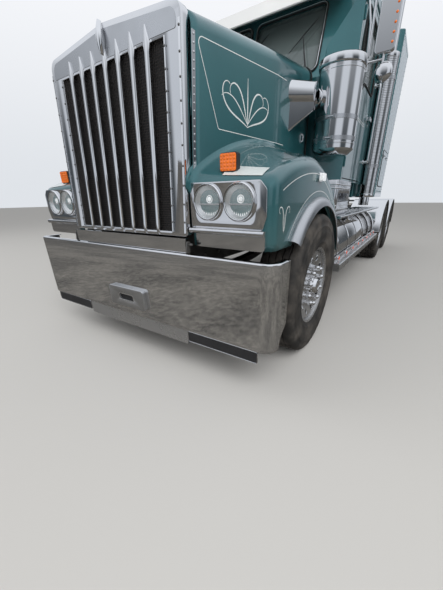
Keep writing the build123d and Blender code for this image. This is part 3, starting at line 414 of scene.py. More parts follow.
def makeStudio(setup):
    world = bpy.data.worlds.new("studio")
    scene.world = world
    board = Board("studio", world)
    spot = board.node("ShaderNodeTexCoord", out=0)
    height = board.part(spot, 2)
    sky = board.mix(board.band(height, 0.0, 0.6), setup["skyLow"], setup["skyHigh"])
    bearing = board.part(spot, 1).maths("ARCTAN2", board.part(spot, 1), board.part(spot, 0))
    sector = board.mix(board.band((bearing * setup["sectors"]).sine(), -0.7, 0.5), setup["sectorDark"],
        setup["sectorPale"])
    reflected = board.mix(board.band(height, 0.10, 0.70), sector, setup["reflectHigh"])
    shown = board.node("ShaderNodeBackground", inputs={0: sky, 1: 1.0})
    lit = board.node("ShaderNodeBackground", inputs={0: rgb(1, 1, 1), 1: setup["worldLight"]})
    metal = board.node("ShaderNodeBackground", inputs={0: reflected, 1: 1.0})
    path = board.tree.nodes.new("ShaderNodeLightPath")
    camera, glossy, through = (Wire(board, path.outputs[key])
        for key in ("Is Camera Ray", "Is Glossy Ray", "Is Transmission Ray"))
    seen = board.node("ShaderNodeMath", {"operation": "ADD", "use_clamp": True}, {0: camera, 1: through})
    both = board.node("ShaderNodeMixShader", inputs={0: seen, 1: lit, 2: shown})
    every = board.node("ShaderNodeMixShader", inputs={0: glossy, 1: both, 2: metal})
    board.tree.links.new(every.socket, board.out.inputs[0])

    floorMesh = bpy.data.meshes.new("floor")
    reach = setup["floorSize"]
    floorMesh.from_pydata([(-reach, -reach, 0), (reach, -reach, 0), (reach, reach, 0), (-reach, reach, 0)],
        [], [(0, 1, 2, 3)])
    floor = bpy.data.objects.new("floor", floorMesh)
    scene.collection.objects.link(floor)
    board = Board("floor")
    grit = board.band(board.noise(11, 7, rough=0.8), 0.40, 0.62) * 0.6
    grit = grit + board.band(board.noise(1.1, 4), 0.35, 0.65) * 0.4
    path = board.tree.nodes.new("ShaderNodeLightPath")
    ground = board.mix(grit, setup["groundDark"], setup["groundPale"])
    tone = board.mix(Wire(board, path.outputs["Is Glossy Ray"]), setup["floor"], ground)
    floorMesh.materials.append(board.surface({"Base Color": tone, "Roughness": 0.85}))

    for name, power, place in (("keyLamp", setup["lampPower"], setup["lampPlace"]),
            ("fillLamp", setup["fillPower"], setup["fillPlace"])):
        lamp = bpy.data.lights.new(name, "AREA")
        lamp.energy, lamp.size = power, setup["lampSize"]
        holder = bpy.data.objects.new(name, lamp)
        scene.collection.objects.link(holder)
        holder.visible_glossy = False
        aim = Vector((0, -1.5, 1)) - Vector(place)
        holder.matrix_world = Matrix.Translation(place) @ aim.to_track_quat("-Z", "Y").to_matrix().to_4x4()


makeStudio(studio)
print("studio made")


def back(station):  # metres behind the bumper's face, as a place along Y
    return cadFront + station


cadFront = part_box("bumper")[0][1] + 0.03  # the tow pin plate stands 30 mm before that face
tau = 2 * pi


def rect(x0, x1, y0, y1):  # four corners of a flat outline
    return [(x0, y0), (x1, y0), (x1, y1), (x0, y1)]


def onPlan(a, b, c):  # an outline that lies flat, c is its height
    return (a, b, c)


def onFront(a, b, c):  # an outline that faces forward, c is its station
    return (a, back(c), b)


def onSide(a, b, c):  # an outline that faces sideways, c is its place along X
    return (c, back(a), b)


def onLength(a, b, c):  # a cross section of a part that runs along Y
    return (a, c, b)


class Shape:  # points and faces in metres, at their real place
    def __init__(self):
        self.points, self.faces = [], []

    def add(self, points, faces):
        base = len(self.points)
        self.points += [tuple(point) for point in points]
        self.faces += [tuple(base + i for i in face) for face in faces]
        return self

    def rows(self, rows, around=False, along=False):
        wide, deep = len(rows[0]), len(rows)
        faces = []
        for r in range(deep if along else deep - 1):
            for c in range(wide if around else wide - 1):
                here, there = r * wide, (r + 1) % deep * wide
                faces.append((here + c, here + (c + 1) % wide, there + (c + 1) % wide, there + c))
        return self.add([point for row in rows for point in row], faces)

    def slab(self, outline, place, low, high):  # place(a, b, depth) gives the point
        count = len(outline)
        faces = [tuple(range(count))[::-1], tuple(range(count, 2 * count))]
        faces += [(i, (i + 1) % count, count + (i + 1) % count, count + i) for i in range(count)]
        return self.add([place(a, b, c) for c in (low, high) for a, b in outline], faces)

    def block(self, x, y, z):
        return self.slab(rect(*x, *y), onPlan, *z)

    # a plate with rounded corners; size holds the rectangle's two spans, one after the other
    def plate(self, size, radius, place, low, high, steps=6):
        return self.slab(roundedOutline(rect(*size), radius, steps), place, low, high)

    # profile holds (along the axis, radius); closed profiles join their ends
    def spin(self, profile, steps, centre, axis="X", start=0.0, sweep=tau, closed=False, wave=None):
        full = abs(sweep - tau) < 1e-6
        rows = []
        for i in range(steps if full else steps + 1):
            angle = start + sweep * i / steps
            row = []
            for number, (reach, radius) in enumerate(profile):
                push = wave(number, i) if wave else 0
                flat = (radius * cos(angle), radius * sin(angle))
                spot = {
                    "X": (reach + push, flat[1], flat[0]),
                    "Y": (flat[0], reach + push, flat[1]),
                    "Z": (flat[0], flat[1], reach + push),
                }[axis]
                row.append([c + s for c, s in zip(centre, spot)])
            rows.append(row)
        self.rows(rows, around=closed, along=full)
        if not full and closed:
            count = len(profile)
            base = len(self.points) - len(rows) * count
            self.faces.append(tuple(base + i for i in range(count)))
            self.faces.append(tuple(base + (len(rows) - 1) * count + i for i in reversed(range(count))))
        return self

    def tube(self, path, radius, sides=12, closed=False, flat=1.0):
        path = [Vector(point) for point in path]
        count = len(path)
        rows, side = [], None
        for i, point in enumerate(path):
            ahead = path[(i + 1) % count] if closed or i < count - 1 else point
            behind = path[i - 1] if closed or i > 0 else point
            run = (ahead - behind).normalized()
            if side is None:
                side = run.cross(Vector((0, 0, 1)) if abs(run.z) < 0.9 else Vector((1, 0, 0))).normalized()
            side = (side - run * side.dot(run)).normalized()
            up = side.cross(run)
            size = radius[i] if isinstance(radius, list) else radius
            rows.append([
                point + side * (size * cos(tau * k / sides)) + up * (size * flat * sin(tau * k / sides))
                for k in range(sides)
            ])
        self.rows(rows, around=True, along=closed)
        if not closed:
            base = len(self.points) - count * sides
            self.faces.append(tuple(base + k for k in reversed(range(sides))))
            self.faces.append(tuple(base + (count - 1) * sides + k for k in range(sides)))
        return self

    def moved(self, place):
        self.points = [tuple(place(point)) for point in self.points]
        return self

    def paired(self):  # adds the same on the other side of the truck
        return self.add([(-x, y, z) for x, y, z in self.points], [face[::-1] for face in self.faces])

    def flipped(self):  # the other side's version of a left piece
        self.points = [(-x, y, z) for x, y, z in self.points]
        self.faces = [face[::-1] for face in self.faces]
        return self


def smoothPath(points, steps=8, closed=False):
    points = [Vector(point) for point in points]
    count, path = len(points), []
    for i in range(count if closed else count - 1):
        near, far = points[i], points[(i + 1) % count]
        before = points[i - 1] if closed or i > 0 else near * 2 - far
        after = points[(i + 2) % count] if closed or i < count - 2 else far * 2 - near
        for k in range(steps):
            t = k / steps
            path.append(0.5 * (
                2 * near + (far - before) * t + (2 * before - 5 * near + 4 * far - after) * t**2
                + (3 * near - before - 3 * far + after) * t**3
            ))
    return path if closed else path + [points[-1]]


def roundedOutline(corners, radii, steps=6):  # flat outline with an arc at each corner
    outline, count = [], len(corners)
    for i, corner in enumerate(corners):
        here = Vector(corner)
        radius = radii[i] if isinstance(radii, (list, tuple)) else radii
        before = (Vector(corners[i - 1]) - here).normalized()
        on = (Vector(corners[(i + 1) % count]) - here).normalized()
        half = acos(max(-1, min(1, before.dot(on)))) / 2
        if radius < 1e-6 or abs(half - pi / 2) < 0.02:
            outline.append(tuple(here))
            continue
        centre = here + (before + on).normalized() * (radius / sin(half))
        first = here + before * (radius / tan(half)) - centre
        last = here + on * (radius / tan(half)) - centre
        turn = atan2(first.x * last.y - first.y * last.x, first.dot(last))
        for k in range(steps + 1):
            angle = turn * k / steps
            outline.append((
                centre.x + first.x * cos(angle) - first.y * sin(angle),
                centre.y + first.x * sin(angle) + first.y * cos(angle),
            ))
    return outline


def softRect(x0, x1, y0, y1, radii, steps=6):
    return roundedOutline(rect(x0, x1, y0, y1), radii, steps)


def bake(piece):  # turns what the modifiers give into a plain mesh
    graph = bpy.context.evaluated_depsgraph_get()
    old = piece.data
    piece.data = bpy.data.meshes.new_from_object(piece.evaluated_get(graph), depsgraph=graph)
    piece.data.name = piece.name
    piece.modifiers.clear()
    bpy.data.meshes.remove(old)


def makeObject(name, shape, finish, sharp=32, merge=2e-5):
    mesh = bpy.data.meshes.new(name)
    mesh.from_pydata(shape.points, [], shape.faces)
    work = bmesh.new()
    work.from_mesh(mesh)
    bmesh.ops.remove_doubles(work, verts=work.verts, dist=merge)
    bmesh.ops.dissolve_degenerate(work, dist=1e-6, edges=work.edges)
    bmesh.ops.recalc_face_normals(work, faces=work.faces)
    work.to_mesh(mesh)
    work.free()
    mesh.shade_smooth()
    mesh.set_sharp_from_angle(angle=radians(sharp))
    mesh.materials.append(finishes[finish])
    piece = bpy.data.objects.new(name, mesh)
    scene.collection.objects.link(piece)
    return piece


def finishPiece(piece, body, hides=(), slot=None):
    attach(piece, body)
    if hides:
        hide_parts(*hides)
    material = next(entry for entry in piece.data.materials if entry)
    slot or slotOf[material.name]
    return piece


# thick is the wall's depth inwards; bevel softens every sharp edge
def makePiece(name, body, finish, shape, hides=(), slot=None, sharp=32, bevel=0, segments=2, thick=0,
        cut=None):
    piece = makeObject(name, shape, finish, sharp)
    if thick:
        wall = piece.modifiers.new("wall", "SOLIDIFY")
        wall.thickness, wall.offset, wall.use_even_offset = thick, -1, True
    if cut:
        tool = makeObject(name + "Cut", cut, finish)
        hole = piece.modifiers.new("hole", "BOOLEAN")
        hole.object, hole.operation, hole.solver = tool, "DIFFERENCE", "EXACT"
    if bevel:
        edge = piece.modifiers.new("edge", "BEVEL")
        edge.width, edge.segments, edge.limit_method = bevel, segments, "ANGLE"
        edge.angle_limit, edge.harden_normals = radians(28), True
    if piece.modifiers:
        bake(piece)
    if cut:
        bpy.data.objects.remove(tool)
        piece.data.shade_smooth()
        piece.data.set_sharp_from_angle(angle=radians(sharp))
    return finishPiece(piece, body, hides, slot)


class Pattern(Desk):  # one Geometry Nodes tree with named inputs
    def __init__(self, name, inputs):
        self.tree = bpy.data.node_groups.new(name, "GeometryNodeTree")
        face = self.tree.interface
        face.new_socket("Geometry", in_out="OUTPUT", socket_type="NodeSocketGeometry")
        face.new_socket("Geometry", in_out="INPUT", socket_type="NodeSocketGeometry")
        self.keys = {}
        for label, kind in {**inputs, "Finish": "Material"}.items():
            made = face.new_socket(label, in_out="INPUT", socket_type="NodeSocket" + kind)
            self.keys[label] = made.identifier
        self.start = self.tree.nodes.new("NodeGroupInput")

    def input(self, label):
        return Wire(self, self.start.outputs[label])

    def vector(self, x=0.0, y=0.0, z=0.0):
        return self.node("ShaderNodeCombineXYZ", inputs={0: x, 1: y, 2: z})

    def copies(self, piece, count, place, turn=(0, 0, 0)):
        dots = self.node("GeometryNodePoints", inputs={"Count": count, "Position": place})
        inputs = {"Points": dots, "Instance": piece, "Rotation": turn}
        return self.node("GeometryNodeInstanceOnPoints", inputs=inputs)

    def end(self, geometry):
        real = self.node("GeometryNodeRealizeInstances", inputs={0: geometry})
        dressed = self.node("GeometryNodeSetMaterial",
            inputs={"Geometry": real, "Material": self.input("Finish")})
        out = self.tree.nodes.new("NodeGroupOutput")
        self.tree.links.new(dressed.socket, out.inputs[0])
        return self


def applyPattern(piece, pattern, values):
    step = piece.modifiers.new(pattern.tree.name, "NODES")
    step.node_group = pattern.tree
    for label, value in values.items():
        step[pattern.keys[label]] = value
    bake(piece)
    return piece


def ringTree():  # copies the piece round an axis along X
    pattern = Pattern("ring", {"Count": "Int", "Centre": "Vector"})
    count = pattern.input("Count")
    turn = pattern.vector(x=pattern.node("GeometryNodeInputIndex") * tau / count)
    return pattern.end(pattern.copies(pattern.input("Geometry"), count, pattern.input("Centre"), turn))


def fieldTree():  # copies the piece along two steps
    pattern = Pattern("field", {"Across": "Int", "Rows": "Int", "Step": "Vector", "Rise": "Vector"})
    index = pattern.node("GeometryNodeInputIndex")
    across = pattern.input("Across")
    row = (index / across + 0.001).floor()
    column = index - row * across
    spot = pattern.summed(pattern.scaled(pattern.input("Step"), column),
        pattern.scaled(pattern.input("Rise"), row))
    return pattern.end(pattern.copies(pattern.input("Geometry"), across * pattern.input("Rows"), spot))


def wrapTree():  # rolls a flat piece round an upright cylinder: X runs round it, Y stands off it
    pattern = Pattern("wrap", {"Radius": "Float", "Centre": "Vector"})
    spot = pattern.node("GeometryNodeInputPosition")
    angle = pattern.part(spot, 0) / pattern.input("Radius")
    reach = pattern.part(spot, 1) + pattern.input("Radius")
    rolled = pattern.vector(angle.cosine() * reach, angle.sine() * reach, pattern.part(spot, 2))
    bent = pattern.node("GeometryNodeSetPosition", inputs={"Geometry": pattern.input("Geometry"),
        "Position": pattern.summed(rolled, pattern.input("Centre"))})
    joined = pattern.node("GeometryNodeMergeByDistance", inputs={"Geometry": bent, "Distance": 0.00005})
    return pattern.end(joined)


def weaveTree():  # crimped wires along Z, side by side in X
    pattern = Pattern("weave", {"Wires": "Int", "Long": "Float", "Pitch": "Float", "Crimp": "Float",
        "Radius": "Float"})
    long, pitch = pattern.input("Long"), pattern.input("Pitch")
    line = pattern.node("GeometryNodeCurvePrimitiveLine", inputs={"End": pattern.vector(z=long)})
    fine = pattern.node("GeometryNodeResampleCurve", inputs={"Curve": line, "Count": long / pitch * 2 + 1})
    height = pattern.part(pattern.node("GeometryNodeInputPosition"), 2)
    bend = (height / pitch * pi + pi / 2).sine() * pattern.input("Crimp")
    crimped = pattern.node("GeometryNodeSetPosition",
        inputs={"Geometry": fine, "Offset": pattern.vector(y=bend)})
    ring = pattern.node("GeometryNodeCurvePrimitiveCircle",
        inputs={"Resolution": 4, "Radius": pattern.input("Radius")})
    wire = pattern.node("GeometryNodeCurveToMesh", inputs={"Curve": crimped, "Profile Curve": ring})
    index = pattern.node("GeometryNodeInputIndex")
    place, turn = pattern.vector(x=index * pitch), pattern.vector(z=index % 2 * pi)
    return pattern.end(pattern.copies(wire, pattern.input("Wires"), place, turn))


rings, fields, wraps, weaves = ringTree(), fieldTree(), wrapTree(), weaveTree()


def ringOf(name, finish, shape, count, centre, sharp=32):
    piece = makeObject(name, shape, finish, sharp)
    return applyPattern(piece, rings, {"Count": count, "Centre": tuple(centre), "Finish": finishes[finish]})


def fieldOf(name, finish, shape, across, step, rows=1, rise=(0, 0, 0), sharp=32):
    piece = makeObject(name, shape, finish, sharp)
    values = {"Across": across, "Rows": rows, "Step": step, "Rise": rise, "Finish": finishes[finish]}
    return applyPattern(piece, fields, values)


# both adds the same on the truck's other side
def spread(name, body, finish, shape, across, step, rows=1, rise=(0, 0, 0), hides=(), slot=None, sharp=32,
        both=True):
    piece = fieldOf(name, finish, shape, across, step, rows, rise, sharp)
    return finishPiece(mirrored(piece) if both else piece, body, hides, slot)


def joinObjects(name, objects):
    work = bmesh.new()
    for piece in objects:
        work.from_mesh(piece.data)
    mesh = bpy.data.meshes.new(name)
    work.to_mesh(mesh)
    work.free()
    for material in objects[0].data.materials:
        mesh.materials.append(material)
    for piece in objects:
        bpy.data.objects.remove(piece)
    joined = bpy.data.objects.new(name, mesh)
    scene.collection.objects.link(joined)
    return joined


def mirrored(piece):  # adds the other side of the truck to a finished mesh
    work = bmesh.new()
    work.from_mesh(piece.data)
    other = work.copy()
    for vert in other.verts:
        vert.co.x = -vert.co.x
    bmesh.ops.reverse_faces(other, faces=other.faces)
    spare = bpy.data.meshes.new("spare")
    other.to_mesh(spare)
    work.from_mesh(spare)
    work.to_mesh(piece.data)
    work.free()
    other.free()
    bpy.data.meshes.remove(spare)
    return piece


def corners(node):
    low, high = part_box(node)
    return Vector(low), Vector(high)


print("tools ready")

# tyres: metres; grooves and lugs are worked round the crown
tyreSetup = {
    "steps": 160,
    "grooveDeep": 0.014,
    "grooveHalf": 0.0045,
    "ribs": (-0.068, -0.023, 0.023, 0.068),  # groove middles across the steer tread
    "waves": 40,
    "waveReach": 0.0025,
    "lugs": 54,
    "lugDeep": 0.017,
    "lugRows": ((-0.094, 0.036), (-0.047, 0.034), (0.0, 0.036), (0.047, 0.034), (0.094, 0.036)),
}


def tyreFlank(radius, half, crown):  # from the bead to the tread edge
    return [
        (half - 0.040, radius - 0.240), (half - 0.028, radius - 0.236), (half - 0.022, radius - 0.226),
        (half - 0.020, radius - 0.206), (half - 0.010, radius - 0.196), (half - 0.0085, radius - 0.189),
        (half - 0.0105, radius - 0.182), (half - 0.0040, radius - 0.155), (half, radius - 0.128),
        (half - 0.0010, radius - 0.110), (half - 0.0045, radius - 0.088), (half - 0.0028, radius - 0.084),
        (half - 0.0030, radius - 0.078), (half - 0.0062, radius - 0.074), (half - 0.0095, radius - 0.050),
        (half - 0.0090, radius - 0.046), (half - 0.0100, radius - 0.036), (half - 0.0150, radius - 0.022),
        (half - 0.0240, radius - 0.010), (crown, radius - 0.001),
    ]


def steerTyre(centre, radius, half, setup):
    flank = tyreFlank(radius, half, 0.112)
    groove, deep = setup["grooveHalf"], setup["grooveDeep"]
    crown = []
    for mid in reversed(setup["ribs"]):
        crown += [(mid + groove, radius), (mid + groove * 0.7, radius - deep)]
        crown += [(mid - groove * 0.7, radius - deep), (mid - groove, radius)]
    profile = flank + crown + [(-reach, size) for reach, size in reversed(flank)]
    first, last = len(flank), len(flank) + len(crown)
    shape = Shape()

    def wave(number, i):
        inside = first <= number < last
        return setup["waveReach"] * sin(tau * setup["waves"] * i / setup["steps"]) if inside else 0

    return shape.spin(profile, setup["steps"], centre, wave=wave)


def driveTyre(centre, radius, half, setup):
    base = radius - setup["lugDeep"]
    flank = [point for point in tyreFlank(radius, half, 0.112) if point[1] < radius - 0.012]
    profile = flank + [(0.118, base + 0.001), (0.10, base), (0, base + 0.001), (-0.10, base)]
    profile += [(-0.118, base + 0.001)] + [(-reach, size) for reach, size in reversed(flank)]
    return Shape().spin(profile, setup["steps"] // 2, centre)


def lugShape(radius, half, setup):
    shape = Shape()
    long = tau * radius / setup["lugs"]
    low = radius - setup["lugDeep"] - 0.002
    for number, (mid, wide) in enumerate(setup["lugRows"]):
        shift = long * (0.5 if number % 2 else 0.0)
        slant = 0.006 if number % 2 else -0.006
        halfLong = long * 0.38
        top = [(mid - wide / 2, -halfLong + slant), (mid + wide / 2, -halfLong - slant)]
        top += [(mid + wide / 2, halfLong - slant), (mid - wide / 2, halfLong + slant)]
        rows = []
        for level, spread in ((low, 1.08), (radius - 0.0035, 1.0), (radius - 0.0008, 0.93)):
            laid = [(mid + (x - mid) * spread, y * spread + shift) for x, y in top]
            rows.append([(x, y, sqrt(level**2 - y**2)) for x, y in laid])
        shape.rows(rows, around=True)
        base = len(shape.points) - 4
        shape.faces.append((base, base + 1, base + 2, base + 3))
    for end in (-1, 1):  # shoulder lugs that run down the flank
        places = [(0.112, radius - 0.001), (0.126, radius - 0.010), (half - 0.010, radius - 0.036),
            (half - 0.013, radius - 0.045)]
        inner = [(0.112, low), (0.118, low), (half - 0.022, radius - 0.040), (half - 0.022, radius - 0.046)]
        loops = [[(end * x, side * long * 0.30, r) for x, r in places + inner[::-1]] for side in (-1, 1)]
        count = len(loops[0])
        faces = [tuple(range(count)), tuple(range(count, 2 * count))[::-1]]
        faces += [(i, (i + 1) % count, count + (i + 1) % count, count + i) for i in range(count)]
        shape.add(loops[0] + loops[1], faces)
    return shape


def makeTyres(node, body):
    low, high = corners(node)
    centre, radius = (low + high) / 2, (high.z - low.z) / 2
    if high.x - low.x < 0.4:
        tyre = makeObject(node + "Made", steerTyre(centre, radius, (high.x - low.x) / 2, tyreSetup),
            "tyreRubber", 50)
        return finishPiece(tyre, body, (node,))
    half = tyreHalf()
    parts = []
    for mid in (low.x + half, high.x - half):
        place = Vector((mid, centre.y, centre.z))
        parts.append(makeObject(node + "Carcass", driveTyre(place, radius, half, tyreSetup), "tyreRubber",
            50))
        parts.append(ringOf(node + "Lugs", "tyreRubber", lugShape(radius, half, tyreSetup), tyreSetup["lugs"],
            place))
    return finishPiece(joinObjects(node + "Made", parts), body, (node,))


def tyreHalf():  # half the width of one tyre of a twin pair
    low, high = corners("tyre_front_left")
    return (high.x - low.x) / 2


# wheels: rim, dished disc with hand holes, nut covers and hub
rimSetup = {
    "rimRadius": 0.300,
    "rimHalf": 0.125,
    "bolts": 10,
    "boltCircle": 0.1429,
    "handCircle": 0.2125,
    "handHole": 0.0235,
    "steps": 96,
    "wall": 0.011,
}


def rimBarrel(centre, setup):
    edge, radius = setup["rimHalf"], setup["rimRadius"]
    half = [
        (0.0, 0.247), (0.045, 0.247), (0.062, 0.256), (0.082, 0.281), (0.106, 0.2855), (0.111, 0.290),
        (0.113, 0.298), (0.1175, radius), (0.1225, radius - 0.001), (edge, radius - 0.005),
        (edge - 0.0015, 0.288), (edge - 0.008, 0.277), (0.100, 0.2735), (0.078, 0.269), (0.056, 0.244),
        (0.045, 0.238), (0.0, 0.238),
    ]
    outer = half[:10]
    inner = half[10:]
    profile = outer + inner[:-1] + [(-reach, size) for reach, size in reversed(inner)]
    profile += [(-reach, size) for reach, size in reversed(outer[1:])]
    return Shape().spin(profile, setup["steps"], centre, closed=True)


def ringSolid(profile, steps, centre, side):
    return Shape().spin([(side * reach, size) for reach, size in profile], steps, centre, closed=True)


def holeRing(circle, radius, count, low, high, centre, side, turn=0.0):
    shape = Shape()
    for i in range(count):
        angle = tau * (i + turn) / count
        spot = Vector(centre) + Vector((0, circle * sin(angle), circle * cos(angle)))
        shape.spin([(side * low, 0), (side * low, radius), (side * high, radius), (side * high, 0)], 24, spot)
    return shape


def nutCover(circle, start, long, side):
    profile = [
        (0, 0.0225), (0.004, 0.0235), (0.009, 0.0225), (0.011, 0.0180), (long - 0.022, 0.0165),
        (long - 0.010, 0.0140), (long - 0.003, 0.0080), (long, 0),
    ]
    shape = Shape()
    return shape.spin([(side * (start + reach), size) for reach, size in profile], 16, (0, 0, circle))


def makeWheel(node, body, side):
    low, high = corners(node)
    setup = rimSetup
    steer = high.x - low.x < 0.35
    mid = sum(corner.x for corner in corners("tyre_front_left")) / 2
    centre = Vector((0, (low.y + high.y) / 2, (low.z + high.z) / 2))
    wall, steps = setup["wall"], setup["steps"]
    name = node + "Made"
    if steer:
        mids = [mid]
        face = mid + 0.085  # outer face of the mounting flange
        disc = [
            (face - wall, 0.082), (face, 0.082), (face, 0.168), (face + 0.002, 0.176), (face + 0.014, 0.205),
            (face + 0.020, 0.236), (face + 0.018, 0.262), (face - 0.002, 0.2745), (face - 0.020, 0.2745),
            (face - 0.020, 0.268), (face + 0.002, 0.256), (face + 0.008, 0.236), (face + 0.001, 0.206),
            (face - wall, 0.178),
        ]
        hub = [
            (face - 0.11, 0.0), (face - 0.11, 0.078), (face + 0.028, 0.080), (face + 0.034, 0.077),
            (face + 0.034, 0.062), (face + 0.050, 0.058), (face + 0.062, 0.050), (face + 0.068, 0.036),
            (face + 0.069, 0.026), (face + 0.066, 0.024), (face + 0.066, 0),
        ]
        nutLong, boss, stud = 0.066, 0.069, (0.034, 0.041)
        drum = [(mid - 0.075, 0.10), (mid - 0.075, 0.196), (mid + 0.055, 0.196), (mid + 0.072, 0.168),
            (mid + 0.072, 0.10)]
    else:
        outer = high.x if side > 0 else -low.x
        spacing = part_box("tyres_drive_1_left")
        wide = 2 * tyreHalf()
        mids = [abs(spacing[0][0]) + wide / 2, abs(spacing[1][0]) - wide / 2]
        face = (mids[0] + mids[1]) / 2 + 0.012
        disc = [
            (face - wall, 0.105), (face, 0.105), (face, 0.172), (face - 0.004, 0.190), (face + 0.004, 0.212),
            (face + 0.030, 0.231), (face + 0.060, 0.238), (face + 0.060, 0.2455), (face + 0.028, 0.240),
            (face - 0.006, 0.222), (face - 0.015, 0.192),
        ]
        hub = [
            (face - 0.02, 0.0), (face - 0.02, 0.104), (face + 0.150, 0.098), (face + 0.156, 0.113),
            (face + 0.172, 0.113), (face + 0.176, 0.108), (face + 0.178, 0.060), (face + 0.205, 0.052),
            (outer - 0.006, 0.040), (outer - 0.001, 0.024), (outer - 0.001, 0),
        ]
        nutLong, boss, stud = 0.055, 0.100, (0.172, 0.181)
        drum = [(mids[0] - 0.09, 0.11), (mids[0] - 0.09, 0.200), (face - 0.05, 0.204), (face - 0.013, 0.176),
            (face - 0.013, 0.11)]
    barrel = Shape()
    for place in mids:
        made = rimBarrel((side * place, centre.y, centre.z), setup)
        barrel.add(made.points, made.faces)
    if not steer:  # the inner wheel's own disc, back to back with the outer one
        flat = 2 * (face - 0.012)
        inner = [(flat - reach, size) for reach, size in disc]
        made = ringSolid(inner, steps, centre, side)
        barrel.add(made.points, made.faces)
    makePiece(name, body, "alloyMetal", barrel, (node,), sharp=40)
    holes = holeRing(setup["handCircle"], setup["handHole"], setup["bolts"], face - 0.05, face + 0.05, centre,
        side, 0.5)
    makePiece(name + "Disc", body, "alloyMetal", ringSolid(disc, steps, centre, side), sharp=40, cut=holes)
    lip = setup["handHole"]
    lipPath = [
        (side * (face + 0.0135), lip * cos(tau * k / 20), setup["handCircle"] + lip * sin(tau * k / 20))
        for k in range(20)
    ]
    if steer:  # bright lips round the hand holes, leaning with the disc
        rim = Shape().tube(lipPath, 0.0028, 6, closed=True)
        rim.moved(lambda p: turned((p[0] + side * 0.33 * (p[2] - setup["handCircle"]), p[1], p[2]), tau / 20))
        finishPiece(ringOf(name + "Lips", "polishedMetal", rim, setup["bolts"], centre), body,
            slot="satin_alloy")
    nuts = ringOf(name + "Nuts", "chrome", nutCover(setup["boltCircle"], face, nutLong, side), setup["bolts"],
        centre)
    finishPiece(nuts, body)
    cap = Shape().spin([(side * reach, size) for reach, size in hub], 48, centre)
    makePiece(name + "Hub", body, "chrome" if steer else "alloyMetal", cap, slot="polished_steel", sharp=30)
    near, far = (side * (face + reach) for reach in stud)
    studs = Shape().spin([(near, 0), (near, 0.0075), (far, 0.0068), (far, 0)], 6, (0, 0, boss))
    finishPiece(ringOf(name + "Studs", "alloyMetal", studs, 8, centre), body)
    makePiece(name + "Drum", body, "castIron", ringSolid(drum, 64, centre, side), sharp=35)


def turned(point, angle):  # about X
    x, y, z = point
    return (x, y * cos(angle) + z * sin(angle), z * cos(angle) - y * sin(angle))


for sideName, side in (("left", 1), ("right", -1)):
    makeTyres("tyre_front_" + sideName, "wheel_front_" + sideName)
    makeWheel("rim_front_" + sideName, "wheel_front_" + sideName, side)
    for axle in ("1", "2"):
        tag = axle + "_" + sideName
        makeTyres("tyres_drive_" + tag, "wheels_drive_" + tag)
        makeWheel("rims_drive_" + tag, "wheels_drive_" + tag, side)
print("wheels made")

# bumper: a folded bright skin with its plates; stations are metres behind its face
bumperSetup = {
    "corner": 0.090,
    "fold": 0.009,
    "skin": 0.0045,
    "flange": 0.040,
    "low": 0.328,
    "high": 0.853,
    "sideCut": ((0.090, 0.328), (0.110, 0.398), (0.180, 0.468)),
    "towHalf": 0.195,
    "towHeights": (0.400, 0.555),
    "towReach": 0.030,
    "slot": (0.168, 0.053),
    "valance": (0.570, 0.225),
    "plates": (0.575, 1.115, 0.249),
    "sill": (0.592, 0.030, 0.940),
}


